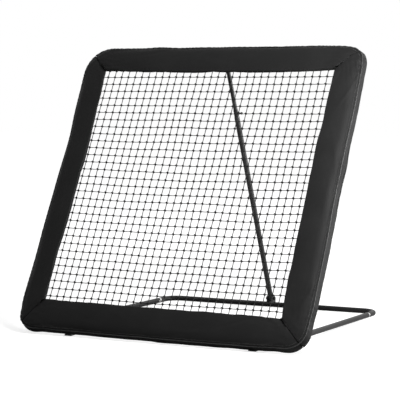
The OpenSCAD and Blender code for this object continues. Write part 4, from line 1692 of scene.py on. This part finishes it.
class Hardware:
    """Gives each solid that shows as it is its finish."""

    FINISHES: dict[str, Finish] = {
        "frame_tube_": POWDER_COAT,
        "frame_joint_screws": ZINC,
        "straps_": WEBBING,
        "foot_sole_": SOLE_RUBBER,
        "foot_screws": ZINC,
        "foot_": MOULDED,
        "top_bracket": POWDER_COAT,
        "hinge_bracket_": POWDER_COAT,
        "rear_bar": GROUND_COAT,
        "base_arm_": GROUND_COAT,
        "arm_sleeve_": ZINC,
        "arm_joint_screws": ZINC,
        "arm_cap_": MOULDED,
        "hinge_": BLACK_ZINC,
        "strut_foot_bracket": POWDER_COAT,
        "strut_foot_plug": MOULDED,
        "strut_foot_": BLACK_ZINC,
        "strut_guide": MOULDED,
        "strut_top_plug": MOULDED,
        "strut_": POWDER_COAT,
        "clamp_boss": POWDER_COAT,
        "clamp_screw": BLACK_ZINC,
        "clamp_knob": MOULDED,
        "top_pivot_": BLACK_ZINC,
    }

    def build(self) -> None:
        """Dress every solid by the first entry that its name starts with."""
        for name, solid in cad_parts.items():
            finish = next((f for start, f in self.FINISHES.items() if name.startswith(start)), None)
            if finish is not None:
                dress(solid, finish)
                log.info("%s: %s", name, finish.name)


# ---------------------------------------------------------------------------
# Studio
# ---------------------------------------------------------------------------


@dataclass(frozen=True)
class StudioCamera:
    """The camera: its place, the turn of its line of sight and its lens."""

    place: tuple[float, float, float] = (3.0592, -5.8297, 1.0864)
    azimuth: float = math.radians(28.239)
    elevation: float = math.radians(5.014)
    roll: float = math.radians(-0.593)
    lens_mm: float = 146.89
    sensor_mm: float = 36.0
    far: float = 60.0

    def build(self) -> None:
        """Make the camera from its turn: across, up and back directions, then rolled."""
        az, el, roll = self.azimuth, self.elevation, self.roll
        back = Vector((math.sin(az) * math.cos(el), -math.cos(az) * math.cos(el), math.sin(el)))
        across = Vector((math.cos(az), math.sin(az), 0.0))
        up = back.cross(across)
        right = across * math.cos(roll) + up * math.sin(roll)
        top = up * math.cos(roll) - across * math.sin(roll)
        data = bpy.data.cameras.new("studio_camera")
        data.lens = self.lens_mm
        data.sensor_width = self.sensor_mm
        data.clip_end = self.far
        camera = bpy.data.objects.new("studio_camera", data)
        turn = Matrix((right, top, back)).transposed().to_4x4()
        camera.matrix_world = Matrix.Translation(Vector(self.place)) @ turn
        bpy.context.scene.collection.objects.link(camera)
        bpy.context.scene.camera = camera


@dataclass(frozen=True)
class SoftLamp:
    """One large soft square lamp, with its place, size, power in watts and aim."""

    name: str
    place: tuple[float, float, float]
    size: float
    power: float
    aim: tuple[float, float, float] = (0.0, 0.0, 0.5)

    def build(self) -> None:
        """Make the lamp."""
        data = bpy.data.lights.new(self.name, "AREA")
        data.shape = "SQUARE"
        data.size = self.size
        data.energy = self.power
        lamp = bpy.data.objects.new(self.name, data)
        heading = Vector(self.aim) - Vector(self.place)
        turn = heading.to_track_quat("-Z", "Y").to_matrix().to_4x4()
        lamp.matrix_world = Matrix.Translation(Vector(self.place)) @ turn
        bpy.context.scene.collection.objects.link(lamp)


@dataclass(frozen=True)
class Studio:
    """A pale floor, a pale surround and soft lamps.

    The floor's glow grows from floor_glow at glow_from to far_glow at glow_to, as distances from
    the origin.
    """

    ambient: float = 0.06
    floor_grey: float = 0.50
    floor_glow: float = 0.74
    far_glow: float = 1.0
    glow_from: float = 1.2
    glow_to: float = 3.0
    floor_half: float = 14.0
    lamps: tuple[SoftLamp, ...] = (
        SoftLamp("key_lamp", (1.35, -1.1, 1.8), 0.8, 90.0, (0.4, 0.1, 0.7)),
        SoftLamp("fill_lamp", (-1.2, -0.6, 2.6), 1.0, 3.0),
        SoftLamp("side_lamp", (4.0, 2.0, 1.0), 1.6, 280.0, (0.6, 0.2, 0.3)),
        SoftLamp("rear_lamp", (1.5, 4.5, 3.6), 2.8, 60.0),
    )

    def build(self) -> None:
        """Make the surround, the floor, the lamps and the camera."""
        bpy.context.scene.view_settings.view_transform = "Standard"
        self._surround()
        self._floor()
        for lamp in self.lamps:
            lamp.build()
        StudioCamera().build()

    def _surround(self) -> None:
        """A plain world: white where the camera or a reflection looks, softer as a light."""
        world = bpy.data.worlds.new("surround")
        world.use_nodes = True
        bpy.context.scene.world = world
        world.node_tree.nodes.clear()
        bench = NodeBench(world.node_tree)
        rays = bench.add("ShaderNodeLightPath")
        seen = bench.math("MAXIMUM", rays.outputs["Is Camera Ray"], rays.outputs["Is Glossy Ray"])
        seen = bench.math("MAXIMUM", seen, rays.outputs["Is Transmission Ray"])
        strength = bench.math("ADD", bench.math("MULTIPLY", seen, 1.0 - self.ambient), self.ambient)
        white = (1.0, 1.0, 1.0, 1.0)
        sky = bench.add("ShaderNodeBackground", {"Color": white, "Strength": strength})
        bench.add("ShaderNodeOutputWorld", {"Surface": sky.outputs[0]})

    def _floor(self) -> None:
        """A flat floor that keeps the object's shadow and reads as white where it is lit.

        Its glow is seen by the camera only.
        """
        half = self.floor_half
        corners = np.array([[-half, -half, 0], [half, -half, 0], [half, half, 0], [-half, half, 0]])
        floor = Skin(corners.astype(float)).add_faces(np.array([[0, 1, 2, 3]])).into_object("floor")
        material = bpy.data.materials.new("PaleFloor")
        material.use_nodes = True
        material.node_tree.nodes.clear()
        bench = NodeBench(material.node_tree)
        rays = bench.add("ShaderNodeLightPath")
        grey = self.floor_grey
        matt = bench.add("ShaderNodeBsdfDiffuse", {"Color": (grey, grey, grey, 1.0)})
        places = bench.add("ShaderNodeTexCoord").outputs["Object"]
        measure = bench.add("ShaderNodeVectorMath", {0: places}, operation="LENGTH")
        distance = measure.outputs["Value"]
        level = bench.add(
            "ShaderNodeMapRange",
            {
                "Value": distance,
                "From Min": self.glow_from,
                "From Max": self.glow_to,
                "To Min": self.floor_glow,
                "To Max": self.far_glow,
            },
        ).outputs[0]
        glow = bench.add(
            "ShaderNodeEmission",
            {"Strength": bench.math("MULTIPLY", rays.outputs["Is Camera Ray"], level)},
        )
        both = bench.add("ShaderNodeAddShader", {0: matt.outputs[0], 1: glow.outputs[0]})
        bench.add("ShaderNodeOutputMaterial", {"Surface": both.outputs[0]})
        floor.data.materials.append(material)


# ---------------------------------------------------------------------------
# Making
# ---------------------------------------------------------------------------


def main() -> None:
    """Dress the rebounder and set up the studio."""
    logging.basicConfig(level=logging.INFO, format="%(message)s")
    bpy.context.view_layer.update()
    Studio().build()
    Hardware().build()
    for seed, side in enumerate(Side):
        for piece in SewnSleeve(side, seed=11 + 10 * seed).build():
            log.info("%s: %d faces", piece.name, len(piece.data.polygons))
    for piece in KnottedNet().build() + [BorderRope().build(), ElasticTies().build()]:
        log.info("%s: %d faces", piece.name, len(piece.data.polygons))


if __name__ == "__main__":
    main()
